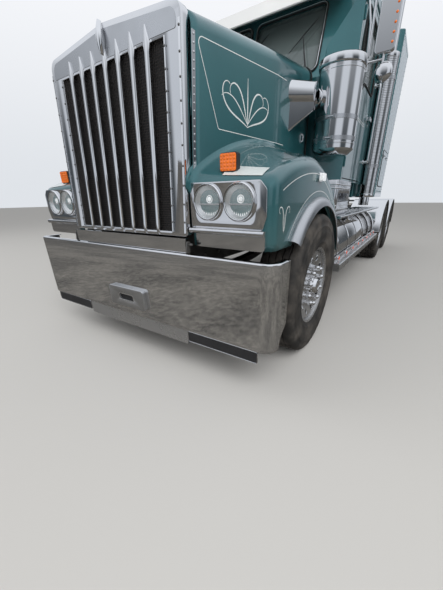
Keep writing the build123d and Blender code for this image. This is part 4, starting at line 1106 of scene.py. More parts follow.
def makeBumper(setup):
    half, sideEnd = corners("bumper")[1].x, 0.180
    corner, fold = setup["corner"], setup["fold"]
    plan = [((half, sideEnd), (-1, 0)), ((half, 0.145), (-1, 0)), ((half, 0.110), (-1, 0))]
    for k in range(13):
        angle = pi / 2 * k / 12
        plan.append(((half - corner + corner * cos(angle), corner - corner * sin(angle)),
            (-cos(angle), sin(angle))))
    flats = [half - corner - 0.02, 0.8, 0.4]
    plan += [((x, 0.0), (0, 1)) for x in flats + [0.0]]
    plan += [((-x, y), (-nx, ny)) for (x, y), (nx, ny) in reversed(plan[:-1])]
    rows = []
    for (x, y), (nx, ny) in plan:
        foot = setup["low"]
        for (y0, z0), (y1, z1) in zip(setup["sideCut"], setup["sideCut"][1:]):
            if y0 <= y <= y1 + 1e-6:
                foot = z0 + (z1 - z0) * (y - y0) / (y1 - y0)
        section = [(setup["flange"], setup["high"])]
        section += [(fold - fold * sin(a), setup["high"] - fold + fold * cos(a))
            for a in [pi / 2 * k / 5 for k in range(6)]]
        section += [(0.0, 0.70), (0.0, 0.55), (0.0, max(foot + 0.02, 0.36))]
        section += [(fold - fold * cos(a), foot + fold - fold * sin(a))
            for a in [pi / 2 * k / 4 for k in range(5)]]
        section += [(0.018, foot)]
        rows.append([(x + nx * inward, back(y + ny * inward), z) for inward, z in section])
    makePiece("bumperSkin", "chassis", "chrome", Shape().rows(rows), ("bumper",), sharp=40,
        thick=setup["skin"])

    towHalf, (towLow, towHigh), reach = setup["towHalf"], setup["towHeights"], setup["towReach"]
    slotWide, slotTall = setup["slot"]
    mid = (towLow + towHigh) / 2
    face = softRect(-towHalf, towHalf, towLow, towHigh, 0.022)
    plate = Shape().slab(face, onFront, -reach, 0.001)
    half = slotWide / 2
    slot = softRect(-half, half, mid - slotTall / 2, mid + slotTall / 2, slotTall * 0.42)
    cut = Shape().slab(slot, onFront, -reach - 0.01, -reach + 0.026)
    makePiece("towPlate", "chassis", "satinMetal", plate, sharp=30, bevel=0.004, segments=3, cut=cut)
    # a dark sheet at the slot's bottom: painted shade for the slot's depth
    floor = Shape().slab(slot, onFront, -reach + 0.019, -reach + 0.0265)
    makePiece("towSlotBack", "chassis", "darkPlastic", floor)
    rim = [(a, back(-reach + 0.001), b) for a, b in slot]
    makePiece("towSlotRim", "chassis", "polishedMetal",
        Shape().tube(rim, 0.0045, 8, closed=True).moved(lambda p: (p[0], max(p[1], back(-reach)), p[2])))

    wide, foot = setup["valance"]
    valance = softRect(-wide, wide, foot, setup["low"] + 0.03, 0.006, 3)
    shape = Shape().slab(valance, onFront, 0.0055, 0.010)
    shape.slab(rect(0.010, 0.034, foot, foot + 0.0035), onSide, -wide, wide)
    makePiece("valance", "chassis", "alloyMetal", shape, slot="polished_steel", bevel=0.0012)
    near, far, foot = setup["plates"]
    plates, borders = Shape(), Shape()
    outline = softRect(near, far, foot, setup["low"] + 0.03, 0.014)
    plates.slab(outline, onFront, 0.0055, 0.0095).paired()
    border = softRect(near, far, foot + 0.003, setup["low"], 0.012)
    borders.tube([(a * 0.995 + 0.004, back(0.0050), b) for a, b in border], 0.0026, 6, closed=True).paired()
    makePiece("blankPlates", "chassis", "darkPlastic", plates, bevel=0.001)
    makePiece("plateBorders", "chassis", "polishedMetal", borders)

    sillHalf, sillY, sillTop = setup["sill"]
    sill = Shape().block((-sillHalf, sillHalf), (back(sillY), back(sillY + 0.005)),
        (setup["high"] + 0.0005, sillTop))
    sill.block((-sillHalf, sillHalf), (back(sillY), back(sillY + 0.03)), (sillTop - 0.004, sillTop))
    makePiece("sillPanel", "chassis", "polishedMetal", sill, bevel=0.0018, segments=3)
    hinge = Shape()
    plate = roundedOutline([(0.020, 0.853), (0.054, 0.853), (0.058, 0.925), (0.030, 0.925)], 0.010, 4)
    hinge.slab(plate, onSide, 0.597, 0.607)
    hinge.spin([(0.607, 0.0), (0.607, 0.008), (0.631, 0.008), (0.633, 0.006), (0.633, 0)], 16,
        (0, back(0.045), 0.905))
    hinge.spin([(0.590, 0.0), (0.590, 0.012), (0.597, 0.012), (0.597, 0)], 6, (0, back(0.045), 0.905))
    makePiece("hoodHinges", "chassis", "chassisPaint", hinge.paired(), bevel=0.0012)


makeBumper(bumperSetup)
print("bumper made")

# grille: raked face, woven panel, spear bars
grilleSetup = {
    "rake": 4.0,
    "noseY": 0.034,
    "noseZ": 0.970,
    "barDeep": 0.014,
    "deep": 0.060,
    "half": 0.592,
    "low": 0.950,
    "side": 2.014,
    "top": 2.068,
    "corner": 0.060,
    "meshHalf": 0.475,
    "mesh": (0.977, 1.895),
    "meshPitch": 0.0135,
    "wire": 0.0017,
    "bars": 7,
    "barPitch": 0.119,
    "bar": (0.950, 1.967, 0.017, 0.026),
}
rakeSlope = tan(radians(grilleSetup["rake"]))


def nose(z):  # station of the grille's foremost face at a height
    return grilleSetup["noseY"] + (z - grilleSetup["noseZ"]) * rakeSlope


def onFace(a, b, c):  # c is depth behind the bars' front
    return (a, back(nose(b) + c), b)


def makeGrille(setup):
    half, front = setup["half"], setup["barDeep"]
    outline = roundedOutline(
        [(-half, setup["low"]), (half, setup["low"]), (half, setup["side"]), (0, setup["top"]),
            (-half, setup["side"])],
        [0.012, 0.012, setup["corner"], 0.0, setup["corner"]], 8,
    )
    frameShape = Shape().slab(outline, onFace, front, front + setup["deep"])
    wide, (low, high) = setup["meshHalf"], setup["mesh"]
    hole = rect(-wide, wide, low, high)
    cut = Shape().slab(hole, onFace, front - 0.05, front + 0.15)
    makePiece("grilleSurround", "hood", "polishedMetal", frameShape, ("grille_surround",), sharp=30,
        bevel=0.005, segments=3, cut=cut)

    header = roundedOutline([(-0.560, high + 0.012), (0.560, high + 0.012), (0.560, 1.990), (0, 2.042),
        (-0.560, 1.990)], [0.01, 0.01, 0.045, 0, 0.045])
    panel = Shape().slab(header, onFace, front - 0.0025, front + 0.002)
    makePiece("headerPanel", "hood", "satinMetal", panel, bevel=0.0012)
    lips = Shape()
    for span in (
        (-0.478, -0.486, low - 0.004, high + 0.004), (-0.575, -0.590, low - 0.01, 1.94),
        (0.478, 0.486, low - 0.004, high + 0.004), (0.575, 0.590, low - 0.01, 1.94),
        (-0.478, 0.478, low - 0.012, low - 0.002),
    ):
        lips.slab(rect(*span), onFace, front - 0.004, front + 0.001)
    makePiece("grilleLips", "hood", "chrome", lips, bevel=0.0015)

    across = int(2 * wide / setup["meshPitch"])
    tall = high - low
    values = {"Long": tall, "Pitch": setup["meshPitch"], "Crimp": setup["wire"] * 0.95,
        "Radius": setup["wire"], "Finish": finishes["meshMetal"]}
    empty = Shape().add([(0, 0, 0), (0.01, 0, 0), (0, 0, 0.01)], [(0, 1, 2)])  # the weave takes its place
    warp = applyPattern(makeObject("warp", empty, "meshMetal"), weaves, {**values, "Wires": across})
    weft = applyPattern(makeObject("weft", empty, "meshMetal"), weaves,
        {**values, "Wires": int(tall / setup["meshPitch"]), "Long": 2 * wide})
    place = front + 0.014
    for vert in warp.data.vertices:
        x, y, z = vert.co
        vert.co = onFace(x - wide + setup["meshPitch"] / 2, low + z, place + y)
    for vert in weft.data.vertices:
        x, y, z = vert.co
        vert.co = onFace(z - wide, low + x + setup["meshPitch"] / 2, place - y)
    weave = joinObjects("grilleWeave", [warp, weft])
    weave.data.shade_smooth()
    finishPiece(weave, "hood", ("grille_mesh",))
    # a dark sheet just behind the woven panel: painted shade, standing in for the dark space behind the
    # grille
    shadeSheet = Shape().slab(hole, onFace, front + 0.020, front + 0.023)
    makePiece("grilleShadeSheet", "hood", "darkPlastic", shadeSheet)

    barLow, barHigh, barHalf, spear = setup["bar"]
    first = -setup["barPitch"] * (setup["bars"] - 1) / 2
    sections = []
    for wide, z in (
        (0, barLow), (barHalf, barLow + 0.045), (barHalf, barHigh - 0.110), (spear, barHigh - 0.075),
        (0, barHigh),
    ):
        core = max(wide, 0.0006)
        sections.append([
            onFace(first - core, z, front), onFace(first - core, z, front * 0.45),
            onFace(first - core * 0.62, z, front * 0.12),
            onFace(first, z, 0.0), onFace(first + core * 0.62, z, front * 0.12),
            onFace(first + core, z, front * 0.45), onFace(first + core, z, front),
        ])
    shape = Shape().rows(sections, around=True)
    spread("grilleBars", "hood", "chrome", shape, setup["bars"], (setup["barPitch"], 0, 0), sharp=24,
        hides=("grille_bars",), both=False)

    dome = [(0.0, 0.0062), (-0.0014, 0.0060), (-0.0035, 0.0042), (-0.0045, 0.002), (-0.0046, 0)]
    for name, x, count, start, step in (("grilleBoltsOuter", 0.583, 10, 1.03, 0.098),
            ("grilleBoltsInner", 0.482, 10, 1.03, 0.092)):
        bolt = Shape().spin(dome, 10, onFace(-x, start, front - 0.004), "Y")
        spread(name, "hood", "dullMetal", bolt, 2, (2 * x, 0, 0), count, (0, step * rakeSlope, step),
            slot="polished_steel", both=False)
    # plain fin at the top of the nose
    fin = Shape()
    rows = []
    for k in range(13):
        t = k / 12
        wide = 0.024 * sin(pi * (0.08 + 0.90 * t)) ** 0.8
        z = 1.925 + 0.150 * t
        y = nose(z) - 0.012 * sin(pi * t)
        rows.append([
            (wide * cos(a), back(y + 0.014 * sin(a) * (1 if sin(a) > 0 else 0.9)), z)
            for a in [tau * m / 20 for m in range(20)]
        ])
    fin.rows(rows, around=True)
    fin.faces += [tuple(range(20))[::-1], tuple(range(12 * 20, 13 * 20))]
    makePiece("noseFin", "hood", "chrome", fin, sharp=60)


makeGrille(grilleSetup)
print("grille made")

# hood: crowned shell; each row is station, half width, height of the top corner
hoodSetup = {
    "rows": ((0.040, 0.592, 2.000), (1.000, 0.702, 2.095), (1.650, 0.712, 2.178)),
    "crown": 0.045,
    "corner": 0.090,
    "low": 1.150,
    "wall": 0.009,
    "steps": 28,
    # the bright strip's section: how far back and how far out
    "strip": ((-0.002, 0.0005), (0.0, 0.0022), (0.024, 0.0028), (0.0255, 0.0008)),
}


def hoodSize(y):
    rows = hoodSetup["rows"]
    for (y0, half0, top0), (y1, half1, top1) in zip(rows, rows[1:]):
        if y <= y1 or y1 == rows[-1][0]:
            t = (y - y0) / (y1 - y0)
            return half0 + (half1 - half0) * t, top0 + (top1 - top0) * t
    return None


def hoodHalf(y):
    return hoodSize(y)[0]


def hoodSection(y):  # right foot, over the crown, to the left foot
    setup = hoodSetup
    half, top = hoodSize(y)
    curve, crown = setup["corner"], setup["crown"]
    flat = half - curve
    radius = (flat**2 + crown**2) / (2 * crown)
    side = [(half, setup["low"] + (top - curve - setup["low"]) * k / 8) for k in range(9)]
    tilt = asin(flat / radius)
    bend = [
        (flat + curve * cos(a), top - curve + curve * sin(a))
        for a in [(pi / 2) * k / 9 for k in range(1, 9)]
    ]
    over = [(radius * sin(a), top + crown - radius + radius * cos(a))
        for a in [tilt * (1 - k / 10) for k in range(11)]]
    left = side + bend + over
    return left + [(-x, z) for x, z in reversed(left[:-1])]


def makeHood(setup):
    front = grilleSetup["barDeep"] + grilleSetup["deep"]
    rear = setup["rows"][-1][0]
    steps = setup["steps"]
    rows = []
    for k in range(steps + 1):
        row = []
        for number in range(len(hoodSection(0.1))):
            y = rear * k / steps
            for _ in range(3):
                start = nose(hoodSection(max(y, 0.05))[number][1]) + front
                y = start + (rear - start) * k / steps
            x, z = hoodSection(y)[number]
            row.append((x, back(y), z))
        rows.append(row)
    makePiece("hoodShell", "hood", "hoodPaint", Shape().rows(rows), ("hood_shell",), sharp=40,
        thick=setup["wall"])
    # a rubber bead round the hood's rear edge, and a raised bead along its crown
    rim = [(x * 1.002, back(rear - 0.004), z + 0.001) for x, z in hoodSection(rear)]
    makePiece("hoodRearBead", "hood", "strapRubber", Shape().tube(rim, 0.006, 6))
    crest = [(0, back(0.20 + 1.38 * k / 10), hoodSize(0.20 + 1.38 * k / 10)[1] + setup["crown"] + 0.001)
        for k in range(11)]
    makePiece("hoodCrest", "hood", "hoodPaint", Shape().tube(crest, 0.010, 10, flat=0.5), sharp=60)
    latch = Shape()
    for y, z in ((1.52, 1.64), (1.52, 1.98)):
        x = hoodHalf(y)
        base = softRect(y - 0.020, y + 0.020, z - 0.040, z + 0.040, 0.010, 4)
        latch.slab(base, onSide, x - 0.002, x + 0.005)
        latch.tube([(x + 0.003, back(y), z - 0.030), (x + 0.016, back(y), z - 0.022),
            (x + 0.018, back(y), z + 0.010), (x + 0.006, back(y), z + 0.030)], 0.006, 10)
    makePiece("hoodLatches", "hood", "chrome", latch.paired(), bevel=0.0012)
    rivet, rows = Shape(), []
    for k in range(21):
        z = setup["low"] + 0.05 + (1.90 - setup["low"] - 0.05) * k / 20
        y = nose(z) + front + 0.012
        rivet.spin([(0.0, 0.006), (0.0022, 0.0052), (0.003, 0.003), (0.0032, 0)], 8,
            (hoodHalf(y) + 0.0012, back(y), z))
    for k in range(13):
        z = setup["low"] + (1.915 - setup["low"]) * k / 12
        y = nose(z) + front
        rows.append([(hoodHalf(y) + out, back(y + on), z) for on, out in setup["strip"]])
    makePiece("hoodFrontStrip", "hood", "polishedMetal", Shape().rows(rows).paired())
    makePiece("hoodRivets", "hood", "chrome", rivet.paired())


makeHood(hoodSetup)
print("hood made")

# fenders: a crowned panel from the hood's side to a rounded shoulder, with the wheel's arch
fenderSetup = {
    "inner": ((0.104, 1.262), (0.400, 1.425), (0.848, 1.536), (1.180, 1.558), (1.480, 1.550)),
    "outer": ((0.104, 1.243), (0.400, 1.343), (0.747, 1.380), (1.150, 1.258), (1.480, 1.000)),
    "frontLow": 0.894,
    "rearLow": 0.690,
    "insideX": 0.600,
    "outsideX": 1.128,
    "shoulder": 0.060,
    "cove": 0.045,
    "coveLow": 1.18,  # the panel has its cove above this height
    "arch": 0.590,
    "wall": 0.008,
}
wheelStation, wheelZ = 0.841, 0.525


def archOf(first, second, third, steps):  # points of the circle through three points
    (ax, ay), (bx, by), (cx, cy) = first, second, third
    d = 2 * (ax * (by - cy) + bx * (cy - ay) + cx * (ay - by))
    ux = ((ax**2 + ay**2) * (by - cy) + (bx**2 + by**2) * (cy - ay) + (cx**2 + cy**2) * (ay - by)) / d
    uy = ((ax**2 + ay**2) * (cx - bx) + (bx**2 + by**2) * (ax - cx) + (cx**2 + cy**2) * (bx - ax)) / d
    radius = hypot(ax - ux, ay - uy)
    start, end = atan2(ay - uy, ax - ux), atan2(cy - uy, cx - ux)
    return [
        (ux + radius * cos(start + (end - start) * k / steps),
            uy + radius * sin(start + (end - start) * k / steps))
        for k in range(steps + 1)
    ]


def fenderPath(points, setup):  # side outline: up the front, over the wheel, down the rear
    (y0, z0), (y1, z1) = points[0], points[-1]
    over = archOf(*points[:3], 22)[:-1] + archOf(*points[2:], 26)
    front = [(y0, setup["frontLow"] + (z0 - setup["frontLow"]) * k / 8) for k in range(8)]
    rear = [(y1, z1 - (z1 - setup["rearLow"]) * k / 8) for k in range(1, 9)]
    return front + over + rear


def softened(path, rounds):  # eases the path's corners
    for _ in range(rounds):
        eased = [path[0]]
        for i in range(1, len(path) - 1):
            eased.append(tuple((path[i - 1][c] + 2 * path[i][c] + path[i + 1][c]) / 4 for c in (0, 1)))
        path = eased + [path[-1]]
    return path


def fenderTop(setup):
    return [softened(fenderPath(setup[key], setup), 2) for key in ("inner", "outer")]


def makeFenders(setup):
    inner, outer = fenderTop(setup)
    inX, outX, shoulder, cove = setup["insideX"], setup["outsideX"], setup["shoulder"], setup["cove"]
    rows = []
    count = len(inner)
    for i in range(count):
        start = inX
        if inner[i][1] > hoodSetup["low"] + 0.02:
            start = max(inX, hoodHalf(max(inner[i][0], 0.05)) - 0.005)
        ahead, behind = outer[min(i + 1, count - 1)], outer[max(i - 1, 0)]
        run = Vector((ahead[0] - behind[0], ahead[1] - behind[1])).normalized()
        normal = Vector((-run.y, run.x))
        row = []
        flat = outX - shoulder

        def onPanel(x):
            t = (x - inX) / (outX - inX)
            return Vector((inner[i][0] + (outer[i][0] - inner[i][0]) * t,
                inner[i][1] + (outer[i][1] - inner[i][1]) * t))

        if inner[i][1] > setup["coveLow"]:  # turns up to the hood's side
            for k in range(5):
                a = pi / 2 * k / 5
                x = start + cove * (1 - cos(a))
                spot = onPanel(x) + normal * (cove * (1 - sin(a)))
                row.append((x, spot.x, spot.y))
        else:
            row += [(start + cove * k / 5, *onPanel(start + cove * k / 5)) for k in range(5)]
        for k in range(9):
            x = start + cove + (flat - start - cove) * k / 8
            row.append((x, *onPanel(x)))
        base = onPanel(outX)
        fore = onPanel(flat)
        for k in range(1, 9):
            a = pi / 2 * k / 8
            blend = fore.lerp(base, sin(a))
            spot = blend - normal * (shoulder * (1 - cos(a)))
            row.append((flat + shoulder * sin(a), spot.x, spot.y))
        edge = Vector(row[-1][1:])
        centre = Vector((wheelStation, wheelZ))
        ray = (edge - centre).normalized()
        foot = centre + ray * setup["arch"]
        floorZ = setup["frontLow"] if edge.x < wheelStation else setup["rearLow"]
        if foot.y < floorZ:
            foot = Vector((edge.x, floorZ))
            if ray.y > 0.05:
                foot.x = centre.x + ray.x * (floorZ - centre.y) / ray.y
        foot.x = min(max(foot.x, setup["inner"][0][0]), setup["inner"][-1][0])
        for k in range(1, 5):
            spot = edge.lerp(foot, k / 4)
            row.append((outX, spot.x, spot.y))
        rows.append([(x, back(y), z) for x, y, z in row])
    shape = Shape().rows(rows).paired()
    makePiece("fenderPanels", "hood", "fenderPaint", shape, ("fenders",), sharp=50, thick=setup["wall"])

    reach = corners("fender_flares")[1].x - outX
    arch = setup["arch"]
    profile = [
        (outX - 0.004, arch + 0.046), (outX + 0.010, arch + 0.0462), (outX + 0.022, arch + 0.0445),
        (outX + 0.036, arch + 0.036), (outX + 0.047, arch + 0.023), (outX + reach - 0.002, arch + 0.006),
        (outX + reach, arch - 0.013), (outX + reach - 0.004, arch - 0.0155),
        (outX + reach - 0.009, arch - 0.013), (outX + reach - 0.011, arch + 0.002),
        (outX + 0.040, arch + 0.018), (outX + 0.028, arch + 0.030), (outX - 0.004, arch + 0.036),
    ]
    frontAngle = -acos((setup["frontLow"] + 0.006 - wheelZ) / (arch + 0.01))
    rearAngle = acos((setup["rearLow"] + 0.020 - wheelZ) / (arch + 0.01))
    flare = Shape().spin(profile, 72, (0, back(wheelStation), wheelZ), "X", frontAngle,
        rearAngle - frontAngle, closed=True)
    makePiece("wheelFlares", "hood", "satinMetal", flare.paired(), ("fender_flares",), sharp=45)


makeFenders(fenderSetup)
print("fenders made")

# pinstripes of plain borders and generic curls, the pale sheet over the fender's front top and its side
# marker
stripeSetup = {
    "width": 0.0042,
    "lift": 0.0009,
    "hood": ((1.140, 1.945), (0.205, 1.905), (0.352, 1.533), (1.140, 1.540)),
    "hoodRound": (0.002, 0.030, 0.012, 0.002),
    "shoulderIn": 0.084,
    "flareOut": 0.081,
    "archStripe": (-52, 58),
    # curls: root station and height, heading in degrees, length, first and last bend per metre, width
    "hoodCurls": (
        (0.640, 1.600, 90, 0.235, 0.0, 0.0, 0.010), (0.640, 1.590, 68, 0.330, 1.0, -36.0, 0.010),
        (0.640, 1.590, 112, 0.330, -1.0, 36.0, 0.010), (0.640, 1.582, 22, 0.400, -1.6, 33.0, 0.010),
        (0.640, 1.582, 158, 0.400, 1.6, -33.0, 0.010), (0.640, 1.595, 46, 0.300, -0.6, -16.0, 0.007),
        (0.640, 1.595, 134, 0.300, 0.6, 16.0, 0.007),
    ),
    "fenderCurls": (
        (0.236, 0.985, 116, 0.200, -9.0, 96.0, 0.0065), (0.236, 0.985, 64, 0.200, 9.0, -96.0, 0.0065),
        (0.236, 0.980, 90, 0.100, 0.0, 0.0, 0.0055),
    ),
    # first and last station, inner and outer place across of the pale sheet over the fender's front top
    "plate": (0.118, 0.250, 0.800, 1.040),
    "marker": (0.800, 1.278, 0.040, 0.028, 0.034),
}


def ribbon(shape, path, widths, place):  # a flat band along a path of (station, height)
    rows = []
    for i, (y, z) in enumerate(path):
        ahead, behind = path[min(i + 1, len(path) - 1)], path[max(i - 1, 0)]
        run = Vector((ahead[0] - behind[0], ahead[1] - behind[1])).normalized()
        half = (widths[i] if isinstance(widths, list) else widths) / 2
        rows.append([place(y - run.y * half, z + run.x * half), place(y + run.y * half, z - run.x * half)])
    return shape.rows(rows)


def curl(y, z, heading, long, first, last, width, steps=26):
    path, widths, angle = [], [], radians(heading)
    for k in range(steps + 1):
        t = k / steps
        path.append((y, z))
        widths.append(width * max(0.42, sin(pi * (0.10 + t * 0.9)) ** 0.7 if t < 1 else 0))
        y, z = y + cos(angle) * long / steps, z + sin(angle) * long / steps
        angle += (first + (last - first) * t * t) * long / steps
    return path, widths


def makeStripes(setup):
    lift, width = setup["lift"], setup["width"]

    def onHood(y, z):
        return (hoodHalf(y) + lift, back(y), z)

    def onFender(y, z):
        return (fenderSetup["outsideX"] + lift, back(y), z)

    hood = Shape()
    border = roundedOutline(setup["hood"], list(setup["hoodRound"]), 6)
    fine = []
    for (y0, z0), (y1, z1) in zip(border, border[1:]):
        count = max(1, int(hypot(y1 - y0, z1 - z0) / 0.05))
        fine += [(y0 + (y1 - y0) * k / count, z0 + (z1 - z0) * k / count) for k in range(count)]
    ribbon(hood, fine, width, onHood)
    for values in setup["hoodCurls"]:
        ribbon(hood, *curl(*values), onHood)
    fender = Shape()
    outer = archOf(*fenderSetup["outer"][:3], 20)[:-1] + archOf(*fenderSetup["outer"][2:], 24)
    line = []
    for i in range(2, len(outer) - 8):
        (y0, z0), (y1, z1) = outer[i - 1], outer[i + 1]
        run = Vector((y1 - y0, z1 - z0)).normalized()
        line.append((outer[i][0] + run.y * setup["shoulderIn"], outer[i][1] - run.x * setup["shoulderIn"]))
    ribbon(fender, line, width, onFender)
    first, last = (radians(a) for a in setup["archStripe"])
    size = fenderSetup["arch"] + setup["flareOut"]
    arc = [(wheelStation + size * sin(a), wheelZ + size * cos(a))
        for a in [first + (last - first) * k / 40 for k in range(41)]]
    ribbon(fender, arc, width, onFender)
    for values in setup["fenderCurls"]:
        ribbon(fender, *curl(*values), onFender)
    makePiece("hoodStripes", "hood", "stripePaint", hood.paired())
    makePiece("fenderStripes", "hood", "stripePaint", fender.paired())

    # a thin sheet in the stripe's pale paint, laid just over each fender's front top
    inner, outer = fenderTop(fenderSetup)
    y0, y1, x0, x1 = setup["plate"]
    span = fenderSetup["outsideX"] - fenderSetup["insideX"]
    rows = []
    for a, b in zip(inner, outer):
        if y0 <= a[0] <= y1 and a[1] > 1.2:
            row = []
            for k in range(7):
                x = x0 + (x1 - x0) * k / 6
                t = (x - fenderSetup["insideX"]) / span
                row.append((x, back(a[0] + (b[0] - a[0]) * t - 0.0012), a[1] + (b[1] - a[1]) * t + 0.0024))
            rows.append(row)
    makePiece("fenderPaleSheets", "hood", "stripePaint", Shape().rows(rows).paired(), slot="satin_alloy")

    y, z, wide, tall, out = setup["marker"]
    for name, finish, inset, near, far in (
        ("sideMarkerCases", "chrome", 0, -0.002, 0.011), ("sideMarkerLenses", "lampGlow", 0.005, 0.010, out),
    ):
        w, t = wide - inset, tall - inset
        outline = softRect(y - w, y + w, z - t, z + t, 0.007, 4)
        x = fenderSetup["outsideX"]
        shape = Shape().slab(outline, onSide, x + near, x + far)
        makePiece(name, "hood", finish, shape.paired(), bevel=0.002, segments=3)


makeStripes(stripeSetup)
print("stripes made")

# lamps on the nose
lampSetup = {
    "xs": (0.729, 0.933),
    "z": 1.138,
    "face": 0.104,  # station of the panel's back
    "wall": 0.012,
    "hole": 0.090,
    "rim": 0.098,
    "lens": 0.086,
    "bowl": 0.055,
}


def makeLamps(setup):
    face, wall, z = setup["face"], setup["wall"], setup["z"]
    end = corners("headlamp_panels")[1].x
    outline = roundedOutline(
        [(0.600, 1.001), (end - 0.021, 1.001), (end, 1.071), (end - 0.004, 1.200), (end - 0.042, 1.240),
            (0.600, 1.240)],
        [0.004, 0.018, 0.03, 0.03, 0.02, 0.004], 5,
    )
    panel = Shape().slab(outline, onFront, face - wall, face)
    cut = Shape()
    for x in setup["xs"]:
        cut.spin([(face - 0.06, 0), (face - 0.06, setup["hole"]), (face + 0.06, setup["hole"]),
            (face + 0.06, 0)], 48, (x, back(0), z), "Y")
    made = makeObject("lampPanels", panel, "polishedMetal")
    tool = makeObject("lampPanelsCut", cut, "polishedMetal")
    hole = made.modifiers.new("hole", "BOOLEAN")
    hole.object, hole.operation, hole.solver = tool, "DIFFERENCE", "EXACT"
    edge = made.modifiers.new("edge", "BEVEL")
    edge.width, edge.segments, edge.limit_method, edge.angle_limit = 0.0025, 2, "ANGLE", radians(40)
    bake(made)
    bpy.data.objects.remove(tool)
    made.data.shade_smooth()
    made.data.set_sharp_from_angle(angle=radians(30))
    finishPiece(mirrored(made), "hood", ("headlamp_panels",))

    shelf = Shape()
    shelf.plate((0.060, 0.104, 0.972, 1.001), [0.010, 0.0, 0.0, 0.010], onSide, 0.600, end, 4)
    makePiece("lampShelf", "hood", "polishedMetal", shelf.paired(), bevel=0.0015)
    strip = Shape().plate((0.635, end, 0.894, 0.972), [0.008, 0.02, 0.0, 0.0], onFront, 0.084, 0.104, 4)
    makePiece("lowerStrip", "hood", "polishedMetal", strip.paired(), bevel=0.0015)

    rings, bowls, lenses, modules, seats, flutes, gaskets = (Shape() for k in range(7))
    front = face - wall
    for x in setup["xs"]:
        spot = (x, back(0), z)
        rings.spin([
            (front + 0.004, setup["rim"] - 0.001), (front - 0.002, setup["rim"]),
            (front - 0.009, setup["rim"] - 0.001), (front - 0.015, setup["rim"] - 0.0055),
            (front - 0.0165, setup["lens"] + 0.002), (front - 0.014, setup["lens"] - 0.001),
            (front - 0.002, setup["lens"] - 0.002), (front + 0.004, setup["lens"] - 0.001),
        ], 64, spot, "Y", closed=True)
        bowl = [(front - 0.008, setup["lens"] - 0.002), (front - 0.004, setup["lens"] - 0.006)]
        bowl += [(front - 0.004 + setup["bowl"] * (1 - (r / 0.080) ** 2), r)
            for r in (0.078, 0.070, 0.058, 0.044, 0.030, 0.018)]
        bowl += [(front - 0.004 + setup["bowl"], 0)]
        bowls.spin(bowl, 48, spot, "Y")
        sphere = 0.20
        depth = sphere - sqrt(sphere**2 - setup["lens"] ** 2)
        dome = [(front - 0.012, setup["lens"])]
        dome += [(front - 0.012 - depth * (1 - (r / setup["lens"]) ** 2), r)
            for r in (0.080, 0.068, 0.052, 0.034, 0.016)]
        dome += [(front - 0.012 - depth, 0)]
        lenses.spin(dome, 64, spot, "Y")
        # one lit core over a bar, and upright flutes below it
        modules.spin([(front + 0.040, 0.022), (front + 0.012, 0.022), (front + 0.008, 0.019),
            (front + 0.014, 0.014), (front + 0.006, 0.010), (front + 0.004, 0)], 28, (x, back(0), z + 0.016),
            "Y")
        seats.block((x - 0.074, x + 0.074), (back(front + 0.006), back(front + 0.022)),
            (z - 0.012, z - 0.006))
        for k in range(-5, 6):
            foot = sqrt(0.076**2 - (0.0125 * k) ** 2)
            flutes.tube([(x + 0.0125 * k, back(front + 0.014), z - foot),
                (x + 0.0125 * k, back(front + 0.022), z - 0.012)], 0.0052, 8)
        gaskets.tube([(x + 0.0905 * cos(tau * k / 64), back(front - 0.0166), z + 0.0905 * sin(tau * k / 64))
            for k in range(64)], 0.0016, 6, closed=True)
    makePiece("lampGaskets", "hood", "strapRubber", gaskets.paired(), sharp=60)
    makePiece("lampFlutes", "hood", "lampGlow", flutes.paired(), slot="polished_steel", sharp=60)
    makePiece("lampRings", "hood", "chrome", rings.paired(), ("headlamps",), sharp=40)
    makePiece("lampBowls", "hood", "bowlMetal", bowls.paired(), sharp=30)
    makePiece("lampModules", "hood", "lampGlow", modules.paired(), sharp=40)
    makePiece("lampBars", "hood", "satinMetal", seats.paired(), bevel=0.0006)
    makePiece("lampLenses", "hood", "lampGlass", lenses.paired(), sharp=60, thick=0.0025)


makeLamps(lampSetup)

signalSetup = {"xs": (0.768, 0.875), "ys": (0.150, 0.195), "zs": (1.288, 1.379), "leds": (5, 5)}


def makeSignals(setup):
    (x0, x1), (y0, y1), (z0, z1) = setup["xs"], setup["ys"], setup["zs"]
    body = softRect(x0, x1, z0, z1, 0.012)
    case = Shape().slab(body, onFront, y0 + 0.010, y1)
    mid = (x0 + x1) / 2
    case.plate((mid - 0.040, mid + 0.040, y0 + 0.006, y1), 0.01, lambda a, b, c: (a, back(b), c), z0 - 0.055,
        z0 + 0.004, 3)
    makePiece("signalCases", "hood", "darkPlastic", case.paired(), ("turn_signals",), bevel=0.0015)
    lensOutline = softRect(x0 + 0.004, x1 - 0.004, z0 + 0.004, z1 - 0.004, 0.010)
    lens = Shape().slab(lensOutline, onFront, y0 + 0.003, y0 + 0.012)
    makePiece("signalLenses", "hood", "amberLens", lens.paired(), bevel=0.002, segments=3)
    across, rows = setup["leds"]
    stepX, stepZ = (x1 - x0 - 0.026) / (across - 1), (z1 - z0 - 0.026) / (rows - 1)
    dome = Shape().spin([(0.001, 0.0078), (-0.0010, 0.0072), (-0.0024, 0.0048), (-0.003, 0)], 10,
        (x0 + 0.013, back(y0 + 0.003), z0 + 0.013), "Y")
    spread("signalLeds", "hood", "amberLens", dome, across, (stepX, 0, 0), rows, (0, 0, stepZ))


makeSignals(signalSetup)
print("lamps made")

